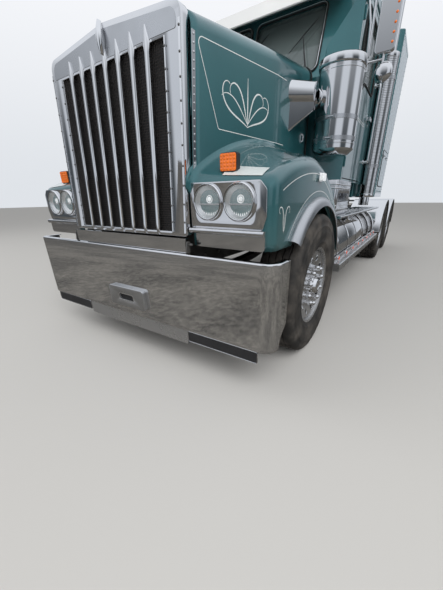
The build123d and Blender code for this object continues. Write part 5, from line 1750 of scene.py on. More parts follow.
# a CAD node's own shape with its edges eased, for the plain folded and cast parts
def softNode(node, body, bevel, segments=2, sharp=30):
    mesh = nodes[node].data.copy()
    mesh.transform(nodes[node].matrix_world)
    work = bmesh.new()
    work.from_mesh(mesh)
    bmesh.ops.remove_doubles(work, verts=work.verts, dist=1e-5)
    bmesh.ops.dissolve_limit(work, angle_limit=radians(0.6), verts=work.verts, edges=work.edges)
    work.to_mesh(mesh)
    work.free()
    dress(mesh, finishOf[node])
    mesh.shade_smooth()
    mesh.set_sharp_from_angle(angle=radians(sharp))
    piece = bpy.data.objects.new("soft" + "".join(word.capitalize() for word in node.split("_")), mesh)
    scene.collection.objects.link(piece)
    edge = piece.modifiers.new("edge", "BEVEL")
    edge.width, edge.segments, edge.limit_method = bevel, segments, "ANGLE"
    edge.angle_limit, edge.harden_normals = radians(sharp), True
    bake(piece)
    return finishPiece(piece, body, (node,))


# tanks with their straps, the deck over them and the step rail
sideSetup = {
    "straps": 6,
    "firstStrap": 0.150,
    "strapWidth": 0.050,
    "capAngle": 52,
    "capAt": 1.5,  # in strap steps behind the first strap
    "deck": (0.780, 1.150, 0.025),
    "lugPitch": 0.050,
    "rail": ((1.130, 0.490), (1.205, 0.490), (1.205, 0.565), (1.150, 0.565), (1.150, 0.620), (1.130, 0.620)),
    "barPitch": 0.030,
    "lamps": 8,
    "lampRadius": 0.026,
    "lampX": 1.150,
    "lampZ": 0.5925,
}


def makeTanks(setup):
    low, high = corners("fuel_tanks")
    radius = (high.z - low.z) / 2
    x, z = high.x - radius, (high.z + low.z) / 2
    long = high.y - low.y
    end = [
        (0.004, 0), (0.0015, 0.10), (0.004, 0.20), (0.012, 0.250), (0.010, 0.268), (0.0, 0.284),
        (0.001, 0.296), (0.008, radius - 0.002), (0.020, radius - 0.0004), (0.034, radius - 0.0004),
        (0.036, radius - 0.0018), (0.038, radius - 0.0004),
    ]
    profile = end + [(long - reach, size) for reach, size in reversed(end)]
    tanks = Shape().spin(profile, 80, (x, low.y, z), "Y")
    makePiece("tankSkins", "chassis", "polishedMetal", tanks.paired(), ("fuel_tanks",), sharp=40)

    step = (long - 2 * setup["firstStrap"]) / (setup["straps"] - 1)
    first, half = low.y + setup["firstStrap"], setup["strapWidth"] / 2
    pad = Shape().spin(
        [(-half, radius - 0.001), (-half, radius + 0.0022), (half, radius + 0.0022), (half, radius - 0.001)],
        72, (x, first, z), "Y", closed=True,
    )
    spread("strapPads", "chassis", "strapRubber", pad, setup["straps"], (0, step, 0), hides=("tank_straps",))
    inner, outer = radius + 0.0020, radius + 0.0055
    band = Shape().spin(
        [(0.007 - half, inner), (0.008 - half, outer), (half - 0.008, outer), (half - 0.007, inner)],
        72, (x, first, z), "Y", closed=True,
    )
    angle = radians(-42)
    run = Vector((-sin(angle), 0, cos(angle)))
    spot = Vector((x + (outer + 0.008) * cos(angle), first, z + (outer + 0.008) * sin(angle)))
    band.tube([spot - run * 0.045, spot + run * 0.045], 0.006, 10)
    for reach in (-0.045, -0.022, 0.022):
        band.tube([spot + run * reach, spot + run * (reach + 0.010)], 0.0105, 6)
    spread("strapBands", "chassis", "polishedMetal", band, setup["straps"], (0, step, 0))

    angle = radians(setup["capAngle"])
    out = Vector((cos(angle), 0, sin(angle)))
    foot = Vector((x, first + setup["capAt"] * step, z)) + out * radius
    reaches = (-0.006, 0.014, 0.015, 0.018, 0.034, 0.039, 0.040)
    sizes = [0.046, 0.046, 0.054, 0.055, 0.055, 0.050, 0.012]
    cap = Shape().tube([foot + out * reach for reach in reaches], sizes, 32)
    cap.tube([foot + out * 0.039 + Vector((0, d, 0)) for d in (-0.038, 0.038)], 0.007, 10)
    makePiece("fillerCaps", "chassis", "chrome", cap.paired(), sharp=30)


def treadLug(shape, centre, angle, long=0.026, wide=0.007, high=0.0022):
    run, side = (cos(angle), sin(angle)), (-sin(angle), cos(angle))
    points = []
    for scale, z in ((1.0, 0.0), (0.66, high)):
        for a, b in ((-1, -1), (1, -1), (1, 1), (-1, 1)):
            u, v = a * long / 2 * scale, b * wide / 2 * scale
            points.append((centre[0] + run[0] * u + side[0] * v, centre[1] + run[1] * u + side[1] * v,
                centre[2] + z))
    return shape.add(points, [(4, 5, 6, 7), (0, 1, 5, 4), (1, 2, 6, 5), (2, 3, 7, 6), (3, 0, 4, 7)])


def makeDeck(setup):
    low, high = corners("side_steps")
    inX, outX, deep = setup["deck"]
    top = high.z - 0.0025
    section = softRect(inX, outX, top - deep, top, [0.003, 0.010, 0.010, 0.003], 4)
    shape = Shape().slab(section, onLength, low.y, high.y)
    rail = roundedOutline(setup["rail"], [0.010, 0.012, 0.014, 0.004, 0.004, 0.003], 4)
    shape.slab(rail, onLength, low.y, high.y)
    makePiece("deckPlates", "chassis", "alloyMetal", shape.paired(), ("side_steps",), sharp=30, bevel=0.001)

    pitch = setup["lugPitch"]
    across = int((high.y - low.y - 0.04) / pitch)
    rows = int((outX - inX - 0.04) / pitch)
    for name, angle, move in (("deckLugsA", 0.8, 0.0), ("deckLugsB", -0.8, 0.5)):
        lug = treadLug(Shape(), (inX + 0.025 + move * pitch, low.y + 0.030 + move * pitch, top), angle)
        spread(name, "chassis", "alloyMetal", lug, across, (0, pitch, 0), rows, (pitch, 0, 0))
    rail = setup["rail"]
    bar = Shape()
    treadLug(bar, ((rail[2][0] + rail[3][0]) / 2, low.y + 0.030, rail[2][1]), 0.0, 0.042, 0.010, 0.0025)
    spread("railTread", "chassis", "alloyMetal", bar, int((high.y - low.y - 0.04) / setup["barPitch"]),
        (0, setup["barPitch"], 0))

    tankLow, tankHigh = corners("fuel_tanks")
    step = (tankHigh.y - tankLow.y - 2 * setup["firstStrap"]) / (setup["straps"] - 1)
    y = tankLow.y + setup["firstStrap"]
    arm = Shape().block((1.098, 1.1305), (y - 0.020, y + 0.020), (0.520, 0.550))
    arm.spin([(1.2045, 0), (1.2045, 0.006), (1.2060, 0.005), (1.2060, 0)], 8, (0, y, 0.535))
    spread("railArms", "chassis", "satinMetal", arm, setup["straps"], (0, step, 0))

    size, x = setup["lampRadius"], setup["lampX"]
    first = low.y + setup["firstStrap"]
    step = (high.y - low.y - 2 * setup["firstStrap"]) / (setup["lamps"] - 1)
    spot = (x, first, setup["lampZ"])
    lens = Shape().spin([(0.004, size - 0.005), (0.009, size - 0.006), (0.0135, size - 0.012),
        (0.0155, size - 0.019), (0.016, 0)], 28, spot)
    spread("railLamps", "chassis", "redLens", lens, setup["lamps"], (0, step, 0), sharp=60)
    rim = Shape().spin([(0.0, size), (0.006, size), (0.009, size - 0.003), (0.007, size - 0.0055),
        (0.0, size - 0.0055)], 28, spot, closed=True)
    spread("railLampRims", "chassis", "chrome", rim, setup["lamps"], (0, step, 0))


makeTanks(sideSetup)
makeDeck(sideSetup)
print("tanks made")

# ribbed step boxes under the doors
boxSetup = {"ribPitch": 0.030, "rib": 0.006, "corner": 0.030, "foot": 0.110}


def makeBoxes(setup):
    low, high = corners("step_boxes")
    inX, outX = high.x - 0.280, high.x - setup["rib"]
    plan = softRect(inX, outX, low.y, high.y, [0.003, setup["corner"], setup["corner"], 0.003], 6)
    box = Shape().slab(plan, onPlan, low.z, high.z)
    # each step is a pocket cut in the box's outer side
    cut = Shape().block((outX - setup["foot"], outX + 0.02), (low.y + 0.06, high.y - 0.06),
        (low.z + 0.115, low.z + 0.190))
    mirrored(makePiece("stepBoxes", "chassis", "alloyMetal", box, ("step_boxes",), sharp=30, bevel=0.005,
        segments=3, cut=cut))
    outline = softRect(inX + 0.03, outX, low.y, high.y, [0, setup["corner"], setup["corner"], 0])
    ribs = Shape()
    z = low.z + 0.022
    while z < high.z - 0.015:
        if not low.z + 0.100 < z < low.z + 0.205:
            ribs.tube([(a, b, z) for a, b in outline], setup["rib"], 8)
        z += setup["ribPitch"]
    makePiece("boxRibs", "chassis", "polishedMetal", ribs.paired(), sharp=50)
    lug = treadLug(Shape(), (inX + 0.030, low.y + 0.035, high.z), 0.8)
    spread("boxLugs", "chassis", "alloyMetal", lug, int((high.y - low.y - 0.05) / 0.045), (0, 0.045, 0), 5,
        (0.045, 0, 0))


makeBoxes(boxSetup)
print("step boxes made")

# air cleaners on the cowl, the scoops that ride on the hood, and the rubber boots between them
cleanerSetup = {
    "x": 0.966,
    "radius": 0.172,
    "cap": 0.182,
    "bands": (1.591, 1.737),
    "bandTall": 0.032,
    "pipe": (0.808, 1.905, 0.058),
    "meet": 1.500,
    "scoop": ((1.180, 1.985), (1.180, 1.862), (1.216, 1.838), (1.216, 1.640), (1.250, 1.640), (1.450, 1.825),
        (1.450, 1.985)),
    # how each corner moves outward
    "taper": ((0.150, 0.0), (0.150, 0.010), (0.150, 0.010), (0.150, 0.150), (0.120, 0.150), (0.0, 0.0),
        (0.0, 0.0)),
    "scoopRound": (0.085, 0.030, 0.004, 0.012, 0.030, 0.030, 0.050),
    "scoopOut": 0.850,
}


def makeCleaners(setup):
    low, high = corners("air_cleaners")
    x, y = setup["x"], back(1.634)
    size, cap = setup["radius"], setup["cap"]
    foot, top = low.z, high.z
    profile = [(foot, 0), (foot, 0.122), (foot + 0.003, 0.130), (foot + 0.036, 0.165),
        (foot + 0.045, size - 0.001), (foot + 0.060, size)]
    for z in (foot + 0.075, 2.062):
        profile += [(z, size), (z + 0.002, size + 0.0022), (z + 0.007, size + 0.0022), (z + 0.009, size)]
    profile += [(top - 0.074, size), (top - 0.072, size + 0.003), (top - 0.070, cap - 0.002),
        (top - 0.066, cap), (top - 0.022, cap),
                (top - 0.016, cap - 0.003), (top - 0.007, cap - 0.016), (top - 0.002, cap - 0.040),
                (top - 0.0005, cap - 0.090), (top, 0)]
    body = Shape().spin(profile, 80, (x, y, 0), "Z")
    makePiece("cleanerBodies", "chassis", "polishedMetal", body.paired(), ("air_cleaners",), sharp=28)
    bands, feet = Shape(), Shape()
    for z in setup["bands"]:
        tall = setup["bandTall"]
        bands.spin([(z, size - 0.001), (z + 0.001, size + 0.0035), (z + tall - 0.001, size + 0.0035),
            (z + tall, size - 0.001)], 72, (x, y, 0), "Z", closed=True)
        bands.tube([(x + 0.030 * k, y - size - 0.010, z + tall / 2) for k in (-1, 1)], 0.005, 10)
        for k in (-1, 1):
            bands.block((x + 0.030 * k - 0.008, x + 0.030 * k + 0.008), (y - size - 0.018, y - size + 0.002),
                (z + 0.004, z + tall - 0.004))
        feet.block((0.756, x), (y + 0.082, y + 0.108), (z + 0.002, z + tall - 0.002))
        feet.block((0.757, 0.770), (y + 0.060, y + 0.130), (z - 0.020, z + tall + 0.020))
    makePiece("cleanerBands", "chassis", "satinMetal", bands.paired(), sharp=30)
    makePiece("cleanerFeet", "chassis", "chassisPaint", feet.paired(), bevel=0.002)

    pipeX, pipeZ, pipe = setup["pipe"]
    meet = setup["meet"]
    boot = []
    for k in range(7):
        start = meet + 0.0045 + 0.013 * k
        boot += [(start, pipe - 0.003), (start + 0.003, pipe + 0.004), (start + 0.007, pipe + 0.004),
            (start + 0.010, pipe - 0.003)]
    shape = Shape().spin([(meet + 0.0045, pipe - 0.012)] + boot, 40, (pipeX, back(0), pipeZ), "Y")
    makePiece("intakeBoots", "chassis", "strapRubber", shape.paired(), sharp=30)
    rows, count = [], 8
    for k in range(count + 1):
        along = k / count
        outline = [(y + dy * along, z + dz * along)
            for (y, z), (dy, dz) in zip(setup["scoop"], setup["taper"])]
        x = 0.698 + (setup["scoopOut"] - 0.698) * along
        rows.append([(x, back(a), b) for a, b in roundedOutline(outline, list(setup["scoopRound"]), 8)])
    scoop = Shape().rows(rows, around=True)
    wide = len(rows[0])
    scoop.faces += [tuple(range(wide))[::-1], tuple(range(count * wide, (count + 1) * wide))]
    made = makePiece("intakeScoops", "hood", "polishedMetal", scoop, ("intake_ducts",), sharp=30, bevel=0.006,
        segments=3)
    mirrored(made)
    flange = Shape().spin(
        [(1.440, pipe), (meet - 0.012, pipe), (meet - 0.010, pipe + 0.005), (meet - 0.002, pipe + 0.005),
            (meet, pipe + 0.003), (meet, pipe - 0.010), (1.470, pipe - 0.010)],
        48, (pipeX, back(0), pipeZ), "Y",
    )
    makePiece("intakePipes", "hood", "polishedMetal", flange.paired(), sharp=30)


makeCleaners(cleanerSetup)
print("air cleaners made")

# exhaust stacks: a pierced guard round the silencer, and a pipe with a slanted tip
stackSetup = {
    "x": 1.060,
    "guard": 0.108,
    "pipe": 0.064,
    "guardLow": 1.150,
    "guardHigh": 2.650,
    "low": 1.050,
    "slant": 0.075,
    "wall": 0.0025,
    "collar": 0.045,
    "clamps": (1.500, 2.400),
    "cells": (52, 88),
    "open": 0.36,
}


def makeStacks(setup):
    low, high = corners("exhaust_stacks")
    x, y = setup["x"], (low.y + high.y) / 2
    guard, pipe = setup["guard"], setup["pipe"]
    start, end = setup["guardLow"], setup["guardHigh"]
    across, rows = setup["cells"]
    wide = tau * guard / across
    tall = (end - start - 2 * setup["collar"]) / rows
    a, b = wide * setup["open"], tall * setup["open"]
    base = start + setup["collar"] + tall / 2
    hole = [(a, 0), (0, b), (-a, 0), (0, -b)]
    edge = [(wide / 2, -tall / 2), (wide / 2, tall / 2), (-wide / 2, tall / 2), (-wide / 2, -tall / 2)]
    cell = Shape().add(
        [(u, 0, base + v) for u, v in hole + edge],
        [(k, 4 + k, 4 + (k + 1) % 4) for k in range(4)]
        + [(k, 4 + (k + 1) % 4, (k + 1) % 4) for k in range(4)],
    )
    sheet = fieldOf("stackGuards", "polishedMetal", cell, across, (wide, 0, 0), rows, (0, 0, tall))
    sheet = applyPattern(sheet, wraps,
        {"Radius": guard - 0.001, "Centre": (x, y, 0), "Finish": finishes["polishedMetal"]})
    sheet.data.shade_smooth()
    finishPiece(mirrored(sheet), "chassis", ("exhaust_stacks",))
    collars = Shape()
    for z in (start, end - setup["collar"]):
        collars.spin([(z, guard - 0.004), (z, guard - 0.001), (z + 0.002, guard),
            (z + setup["collar"] - 0.002, guard), (z + setup["collar"], guard - 0.001),
            (z + setup["collar"], guard - 0.004)], 56, (x, y, 0), "Z", closed=True)
    for z in (start + 0.003, end - 0.003):
        collars.spin([(z - 0.0015, pipe - 0.001), (z - 0.0015, guard - 0.003), (z + 0.0015, guard - 0.003),
            (z + 0.0015, pipe - 0.001)], 56, (x, y, 0), "Z", closed=True)
    makePiece("stackCollars", "chassis", "polishedMetal", collars.paired(), sharp=35)
    core = Shape().spin([(start + 0.010, pipe), (start + 0.060, 0.092), (end - 0.060, 0.092),
        (end - 0.010, pipe)], 40, (x, y, 0), "Z")
    makePiece("silencers", "chassis", "dullMetal", core.paired(), sharp=35)
    pipes = []
    for z in (setup["low"], setup["low"] + 0.004, start, end, 3.0, 3.3):
        pipes.append([(pipe, z, 0)] * 48)
    pipes += [[(pipe, high.z, 1)] * 48, [(pipe - setup["wall"], high.z, 1)] * 48,
        [(pipe - setup["wall"], 3.2, 0)] * 48]
    rows = []
    for ring in pipes:
        row = []
        for k, (size, z, slanted) in enumerate(ring):
            angle = tau * k / 48
            drop = setup["slant"] * (0.5 + 0.5 * cos(angle)) if slanted else 0
            row.append((x + size * cos(angle), y + size * sin(angle), z - drop))
        rows.append(row)
    shape = Shape().rows(rows, around=True)
    shape.faces.append(tuple(len(shape.points) - 48 + k for k in range(48)))
    makePiece("stackPipes", "chassis", "polishedMetal", shape.paired(), sharp=35)
    clamps = Shape()
    for z in setup["clamps"]:
        clamps.spin([(z, guard - 0.001), (z + 0.001, guard + 0.004), (z + 0.039, guard + 0.004),
            (z + 0.040, guard - 0.001)], 56, (x, y, 0), "Z", closed=True)
        clamps.block((0.926, x - guard + 0.004), (y - 0.018, y + 0.018), (z + 0.002, z + 0.038))
        clamps.block((0.924, 0.932), (y - 0.040, y + 0.040), (z - 0.025, z + 0.065))
    makePiece("stackClamps", "chassis", "satinMetal", clamps.paired(), sharp=30)


makeStacks(stackSetup)
print("stacks made")

# cab and sleeper: eased shells with rubbers, glass seams, rivets and lamps
cabSetup = {
    "screenFoot": (1.760, 2.130),
    "screenHead": (1.960, 2.740),
    "screenMargin": 0.110,
    "pane": (0.670, 0.365),
    "paneRound": 0.050,
    "window": ((2.075, 2.090), (2.250, 2.090), (2.400, 2.190), (2.885, 2.190), (2.885, 2.670), (2.140, 2.670),
        (2.075, 2.420)),
    "side": 1.000,
    "gutterZ": 2.783,
    "roofLamps": (5, 0.340, 2.150),
    "grab": (3.045, 1.560, 2.330),
    "door": (2.001, 2.959, 1.338, 2.732),
    "sleeperSide": 1.150,
    "sleeperEnds": (3.480, 4.250),
    "locker": (3.590, 4.130, 1.300, 1.740),
}


def rubber(name, body, path, size, finish="strapRubber", both=False):
    shape = Shape().tube(path, size, 8, closed=True)
    return makePiece(name, body, finish, shape.paired() if both else shape, sharp=60)


def makeCab(setup):
    for node, bevel, segments in (
        ("cab_shell", 0.006, 2), ("cab_back", 0.004, 2), ("cab_roof", 0.014, 3), ("sun_visor", 0.004, 3),
        ("sleeper", 0.016, 4),
    ):
        softNode(node, "chassis", bevel, segments)

    (y0, z0), (y1, z1) = setup["screenFoot"], setup["screenHead"]
    long = hypot(y1 - y0, z1 - z0)
    up = Vector((0, (y1 - y0) / long, (z1 - z0) / long))
    out = Vector((0, -(z1 - z0) / long, (y1 - y0) / long))
    middle = Vector((0, back((y0 + y1) / 2), (z0 + z1) / 2))

    def onScreen(a, b, c):
        return middle + Vector((a, 0, 0)) + up * b + out * c

    wide, mid = setup["pane"]
    half = (long - setup["screenMargin"]) / 2
    edge = softRect(mid - wide / 2, mid + wide / 2, -half, half, setup["paneRound"], 8)
    rubber("screenRubbers", "chassis", [onScreen(a, b, 0.002) for a, b in edge], 0.013, both=True)
    rubber("screenInserts", "chassis", [onScreen(a, b, 0.013) for a, b in edge], 0.0035, "chrome", both=True)
    wipers = Shape()
    for x in (0.135, 0.620):
        foot, tip = onScreen(x, -half - 0.030, 0.020), onScreen(x - 0.090, 0.035, 0.026)
        wipers.tube([foot - out * 0.022, foot, foot + out * 0.006], [0.014, 0.014, 0.008], 14)
        wipers.tube([foot, foot.lerp(tip, 0.5) + out * 0.012, tip], [0.007, 0.006, 0.004], 8)
        wipers.tube([onScreen(x - 0.210, -0.080, 0.014), onScreen(x - 0.090, 0.035, 0.020),
            onScreen(x + 0.030, 0.150, 0.014)], [0.003, 0.006, 0.003], 8)
    makePiece("wipers", "chassis", "darkPlastic", wipers, sharp=50)

    side, z = setup["side"], setup["gutterZ"]
    gutter = Shape().tube([(side + 0.001, back(y), z) for y in (2.000, 2.4, 2.8, 3.096)], 0.009, 8)
    makePiece("rainGutters", "chassis", "tealPaint", gutter.paired(), sharp=60)
    count, step, y = setup["roofLamps"]
    first = -step * (count - 1) / 2
    top = 2.853
    lens = Shape().spin([(top, 0.030), (top + 0.008, 0.029), (top + 0.018, 0.022), (top + 0.023, 0.011),
        (top + 0.024, 0)], 24, (first, back(y), 0), "Z")
    spread("roofLamps", "chassis", "amberLens", lens, count, (step, 0, 0), sharp=60, both=False)
    seat = Shape().spin([(top - 0.006, 0.036), (top + 0.003, 0.036), (top + 0.006, 0.033),
        (top + 0.006, 0.029)], 24, (first, back(y), 0), "Z")
    spread("roofLampSeats", "chassis", "chrome", seat, count, (step, 0, 0), both=False)

    y, low, high = setup["grab"]
    reach = side + 0.048
    path = [(side - 0.004, back(y), low), (reach - 0.012, back(y), low), (reach, back(y), low + 0.02),
        (reach, back(y), (low + high) / 2), (reach, back(y), high - 0.02), (reach - 0.012, back(y), high),
        (side - 0.004, back(y), high)]
    grab = Shape().tube(smoothPath(path, 4), 0.014, 14)
    for z in (low, high):
        grab.spin([(side - 0.001, 0.030), (side + 0.004, 0.029), (side + 0.006, 0.018), (side + 0.006, 0)],
            24, (0, back(y), z))
    makePiece("grabHandles", "chassis", "chrome", grab.paired(), sharp=50)

    # rivet rows, the locker's lid and the bright edge along the sleeper
    side = setup["sleeperSide"]
    (y0, y1), (low, high) = setup["sleeperEnds"], (1.150, 2.950)
    dome = [(0.0, 0.0055), (0.0018, 0.0050), (0.0028, 0.0030), (0.0031, 0)]
    for name, start, across, step, rows, rise in (
        ("sleeperRivetsUp", (y0 + 0.030, low + 0.06), 34, (0, 0, 0.0515), 2, (0, y1 - y0 - 0.060, 0)),
        ("sleeperRivetsOn", (y0 + 0.080, low + 0.080), 13, (0, 0.0508, 0), 2, (0, 0, high - low - 0.130)),
    ):
        rivet = Shape().spin(dome, 8, (side, back(start[0]), start[1]))
        spread(name, "chassis", "tealPaint", rivet, across, step, rows, rise, sharp=60)
    rivet = Shape().spin(dome, 8, (-1.10, back(y1), low + 0.06), "Y")
    spread("sleeperRivetsBack", "chassis", "tealPaint", rivet, 34, (0, 0, 0.0515), 5, (0.55, 0, 0), sharp=60,
        both=False)
    seam = Shape()
    for x in (-0.55, 0.0, 0.55):
        seam.block((x - 0.018, x + 0.018), (back(y1) - 0.0005, back(y1) + 0.0016), (low + 0.01, high - 0.02))
    makePiece("sleeperSeams", "chassis", "tealPaint", seam, bevel=0.0006)
    edge = Shape().block((side - 0.001, side + 0.004), (back(y0 + 0.01), back(y1)),
        (low + 0.002, low + 0.052))
    edge.block((-side, side), (back(y1) - 0.001, back(y1) + 0.004), (low + 0.002, low + 0.052))
    makePiece("sleeperEdges", "chassis", "polishedMetal", edge.paired(), bevel=0.0015)
    a0, a1, b0, b1 = setup["locker"]
    lid = softRect(a0, a1, b0, b1, 0.035, 6)
    lids = Shape().slab(lid, onSide, side - 0.001, side + 0.006)
    makePiece("lockerLids", "chassis", "tealPaint", lids.paired(), bevel=0.002)
    rim = softRect(a0 - 0.006, a1 + 0.006, b0 - 0.006, b1 + 0.006, 0.040, 6)
    rubber("lockerRubbers", "chassis", [(side + 0.001, back(a), b) for a, b in rim], 0.004, both=True)
    latch = Shape()
    for y in (a0 + 0.11, a1 - 0.11):
        latch.plate((y - 0.045, y + 0.045, b1 - 0.085, b1 - 0.035), 0.010, onSide, side + 0.005, side + 0.011,
            4)
        latch.tube([(side + 0.016, back(y - 0.030), b1 - 0.060), (side + 0.016, back(y + 0.030), b1 - 0.060)],
            0.006, 10)
    makePiece("lockerLatches", "chassis", "chrome", latch.paired(), bevel=0.0015)
    stripes = Shape()
    for z in (1.880, 1.900):
        ribbon(stripes, [(y0 + 0.045 + (y1 - y0 - 0.09) * k / 4, z) for k in range(5)], 0.006,
            lambda y, h: (side + 0.0008, back(y), h))
    makePiece("sleeperStripes", "chassis", "stripePaint", stripes.paired())


makeCab(cabSetup)
print("cab made")

# doors with their rubbers, handles and mirrors; the right one is the left one flipped
doorSetup = {
    "handle": (2.875, 1.975),
    "mirrorX": (1.110, 1.270),
    "mirrorY": 2.050,
    "mirrorZ": (2.270, 2.690),
    "head": (0.030, 0.016),
    "round": (1.205, 2.150, 0.074),
    "vent": 2.262,
}


def makeDoor(side, setup):
    body, tag = "door_" + side, side.capitalize()
    right = side == "right"
    softNode("door_" + side, body, 0.004)
    skin = cabSetup["side"]

    def put(name, finish, shape, hides=(), **rest):
        if right:
            shape.flipped()
        return makePiece(name + tag, body, finish, shape, hides, **rest)

    window = roundedOutline(cabSetup["window"], [0.030, 0.060, 0.060, 0.040, 0.050, 0.060, 0.050], 5)
    put("windowRubber", "strapRubber",
        Shape().tube([(skin - 0.001, back(a), b) for a, b in window], 0.011, 8, closed=True), sharp=60)
    vent = setup["vent"]
    put("ventBar", "strapRubber", Shape().block((skin - 0.034, skin - 0.004),
        (back(vent), back(vent + 0.022)), (2.094, 2.668)), bevel=0.003)
    y0, y1, z0, z1 = cabSetup["door"]
    seal = [(skin - 0.012, back(a), b)
        for a, b in softRect(y0 - 0.004, y1 + 0.004, z0 - 0.004, z1 + 0.004, 0.012, 4)]
    made = Shape().tube(seal, 0.0036, 6, closed=True)
    if right:
        made.flipped()
    makePiece("doorSeal" + tag, "chassis", "strapRubber", made, sharp=60)
    y, z = setup["handle"]
    plate = softRect(y - 0.075, y + 0.075, z - 0.040, z + 0.040, 0.018, 5)
    handle = Shape().slab(plate, onSide, skin - 0.001, skin + 0.005)
    handle.block((skin, skin + 0.034), (back(y - 0.055), back(y + 0.055)), (z - 0.018, z + 0.018))
    handle.spin([(skin + 0.004, 0.012), (skin + 0.010, 0.012), (skin + 0.012, 0.009), (skin + 0.012, 0)], 16,
        (0, back(y), z - 0.062))
    put("doorHandle", "chrome", handle, bevel=0.003, segments=3)
    stripes = Shape()
    for z in (1.880, 1.900):
        ribbon(stripes, [(y0 + 0.045 + (y1 - y0 - 0.30) * k / 4, z) for k in range(5)], 0.006,
            lambda a, b: (skin + 0.0008, back(a), b))
    put("doorStripes", "stripePaint", stripes)

    (near, far), y, (low, high) = setup["mirrorX"], setup["mirrorY"], setup["mirrorZ"]
    fore, aft = setup["head"]
    outline = softRect(near, far, low, high, 0.030, 6)
    head = Shape().slab(outline, lambda a, b, c: (a, back(y + c), b), -fore, aft)
    put("mirrorHead", "polishedMetal", head, ("mirror_" + side,), sharp=30, bevel=0.010, segments=4)
    glass = Shape()
    middle = low + (high - low) * 0.36
    for a, b in ((low + 0.014, middle - 0.005), (middle + 0.005, high - 0.014)):
        glass.plate((near + 0.013, far - 0.013, a, b), 0.018, lambda p, q, c: (p, back(y + c), q),
            aft - 0.002, aft + 0.003, 5)
    x, z, size = setup["round"]
    dish = Shape().spin([(-0.018, 0), (-0.017, size * 0.45), (-0.010, size * 0.80), (0.004, size - 0.002),
        (0.012, size), (0.016, size - 0.002), (0.016, size - 0.008)], 40, (x, back(y), z), "Y")
    put("roundMirror", "polishedMetal", dish, sharp=40)
    glass.spin([(0.014, size - 0.007), (0.019, size * 0.6), (0.021, 0)], 40, (x, back(y), z), "Y")
    put("mirrorGlass", "mirrorMetal", glass, sharp=50)
    mast = (near + far) / 2
    arms = Shape()
    for z1 in (low - 0.035, high - 0.035):
        arms.tube([(skin - 0.002, back(y), z1), (near if z1 > low else mast, back(y), z1)], 0.0105, 12)
        arms.spin([(skin - 0.001, 0.026), (skin + 0.005, 0.024), (skin + 0.008, 0.014)], 20, (0, back(y), z1))
    arms.tube([(mast, back(y), low + 0.012), (mast, back(y), z - size * 0.4)], 0.0105, 12)
    arms.tube([(skin - 0.002, back(y + 0.090), high + 0.010), (near + 0.030, back(y), high - 0.050)], 0.007,
        10)
    mast = near - 0.048
    arms.tube([(mast, back(y), low - 0.100), (mast, back(y), high + 0.045)], 0.0125, 14)
    arms.tube([(skin - 0.002, back(y - 0.038), high + 0.020),
        (mast - 0.010, back(y - 0.036), (low + high) / 2), (mast, back(y - 0.010), low - 0.080)], 0.010, 12)
    studs = Shape()
    for k in range(6):
        studs.spin([(0.0005, 0.010), (-0.003, 0.009), (-0.006, 0.005), (-0.007, 0)], 14,
            (far - 0.028, back(y - fore), low + 0.060 + k * 0.060), "Y")
    put("mirrorStuds", "amberLens", studs, sharp=60)
    put("mirrorArms", "chrome", arms, sharp=50)


for side in ("left", "right"):
    makeDoor(side, doorSetup)
print("doors made")

# seats, bunk and dashboard
seatSetup = {
    "xs": (-0.480, 0.480),
    "base": (0.200, (2.420, 2.820), (1.360, 1.640)),
    "cushion": (0.262, (2.368, 2.892), (1.638, 1.772)),
    "back": (0.252, (2.780, 2.922), (1.768, 2.330)),
    "rest": (0.150, (2.800, 2.915), (2.310, 2.442)),
    "bunk": (1.088, (3.542, 4.188), (1.205, 1.700)),
    "mattress": (1.088, (3.542, 4.188), (1.700, 1.902)),
    "pillow": ((0.560, 1.060), (3.600, 4.050), (1.880, 1.985)),
}


def power(value, exponent):
    return copysign(abs(value) ** exponent, value)


def cushion(shape, x, y, z, square=0.36, steps=32, seams=0, depth=0.004):  # a rounded, stuffed box
    middle = [(a + b) / 2 for a, b in (x, y, z)]
    half = [(b - a) / 2 for a, b in (x, y, z)]
    rows = []
    for i in range(steps // 2 + 1):
        lean = -pi / 2 + pi * i / (steps // 2)
        row = []
        for k in range(steps):
            turn = tau * k / steps
            flat = power(cos(lean), square)
            spot = [flat * power(cos(turn), square), flat * power(sin(turn), square),
                power(sin(lean), square)]
            sink = depth * (0.5 + 0.5 * cos(spot[0] * pi * seams)) if seams else 0
            row.append([m + s * h for m, s, h in zip(middle, spot, half)])
            row[-1][2] -= sink * max(0, spot[2])
            row[-1][1] += sink * max(0, -spot[1])
        rows.append(row)
    return shape.rows(rows, around=True)


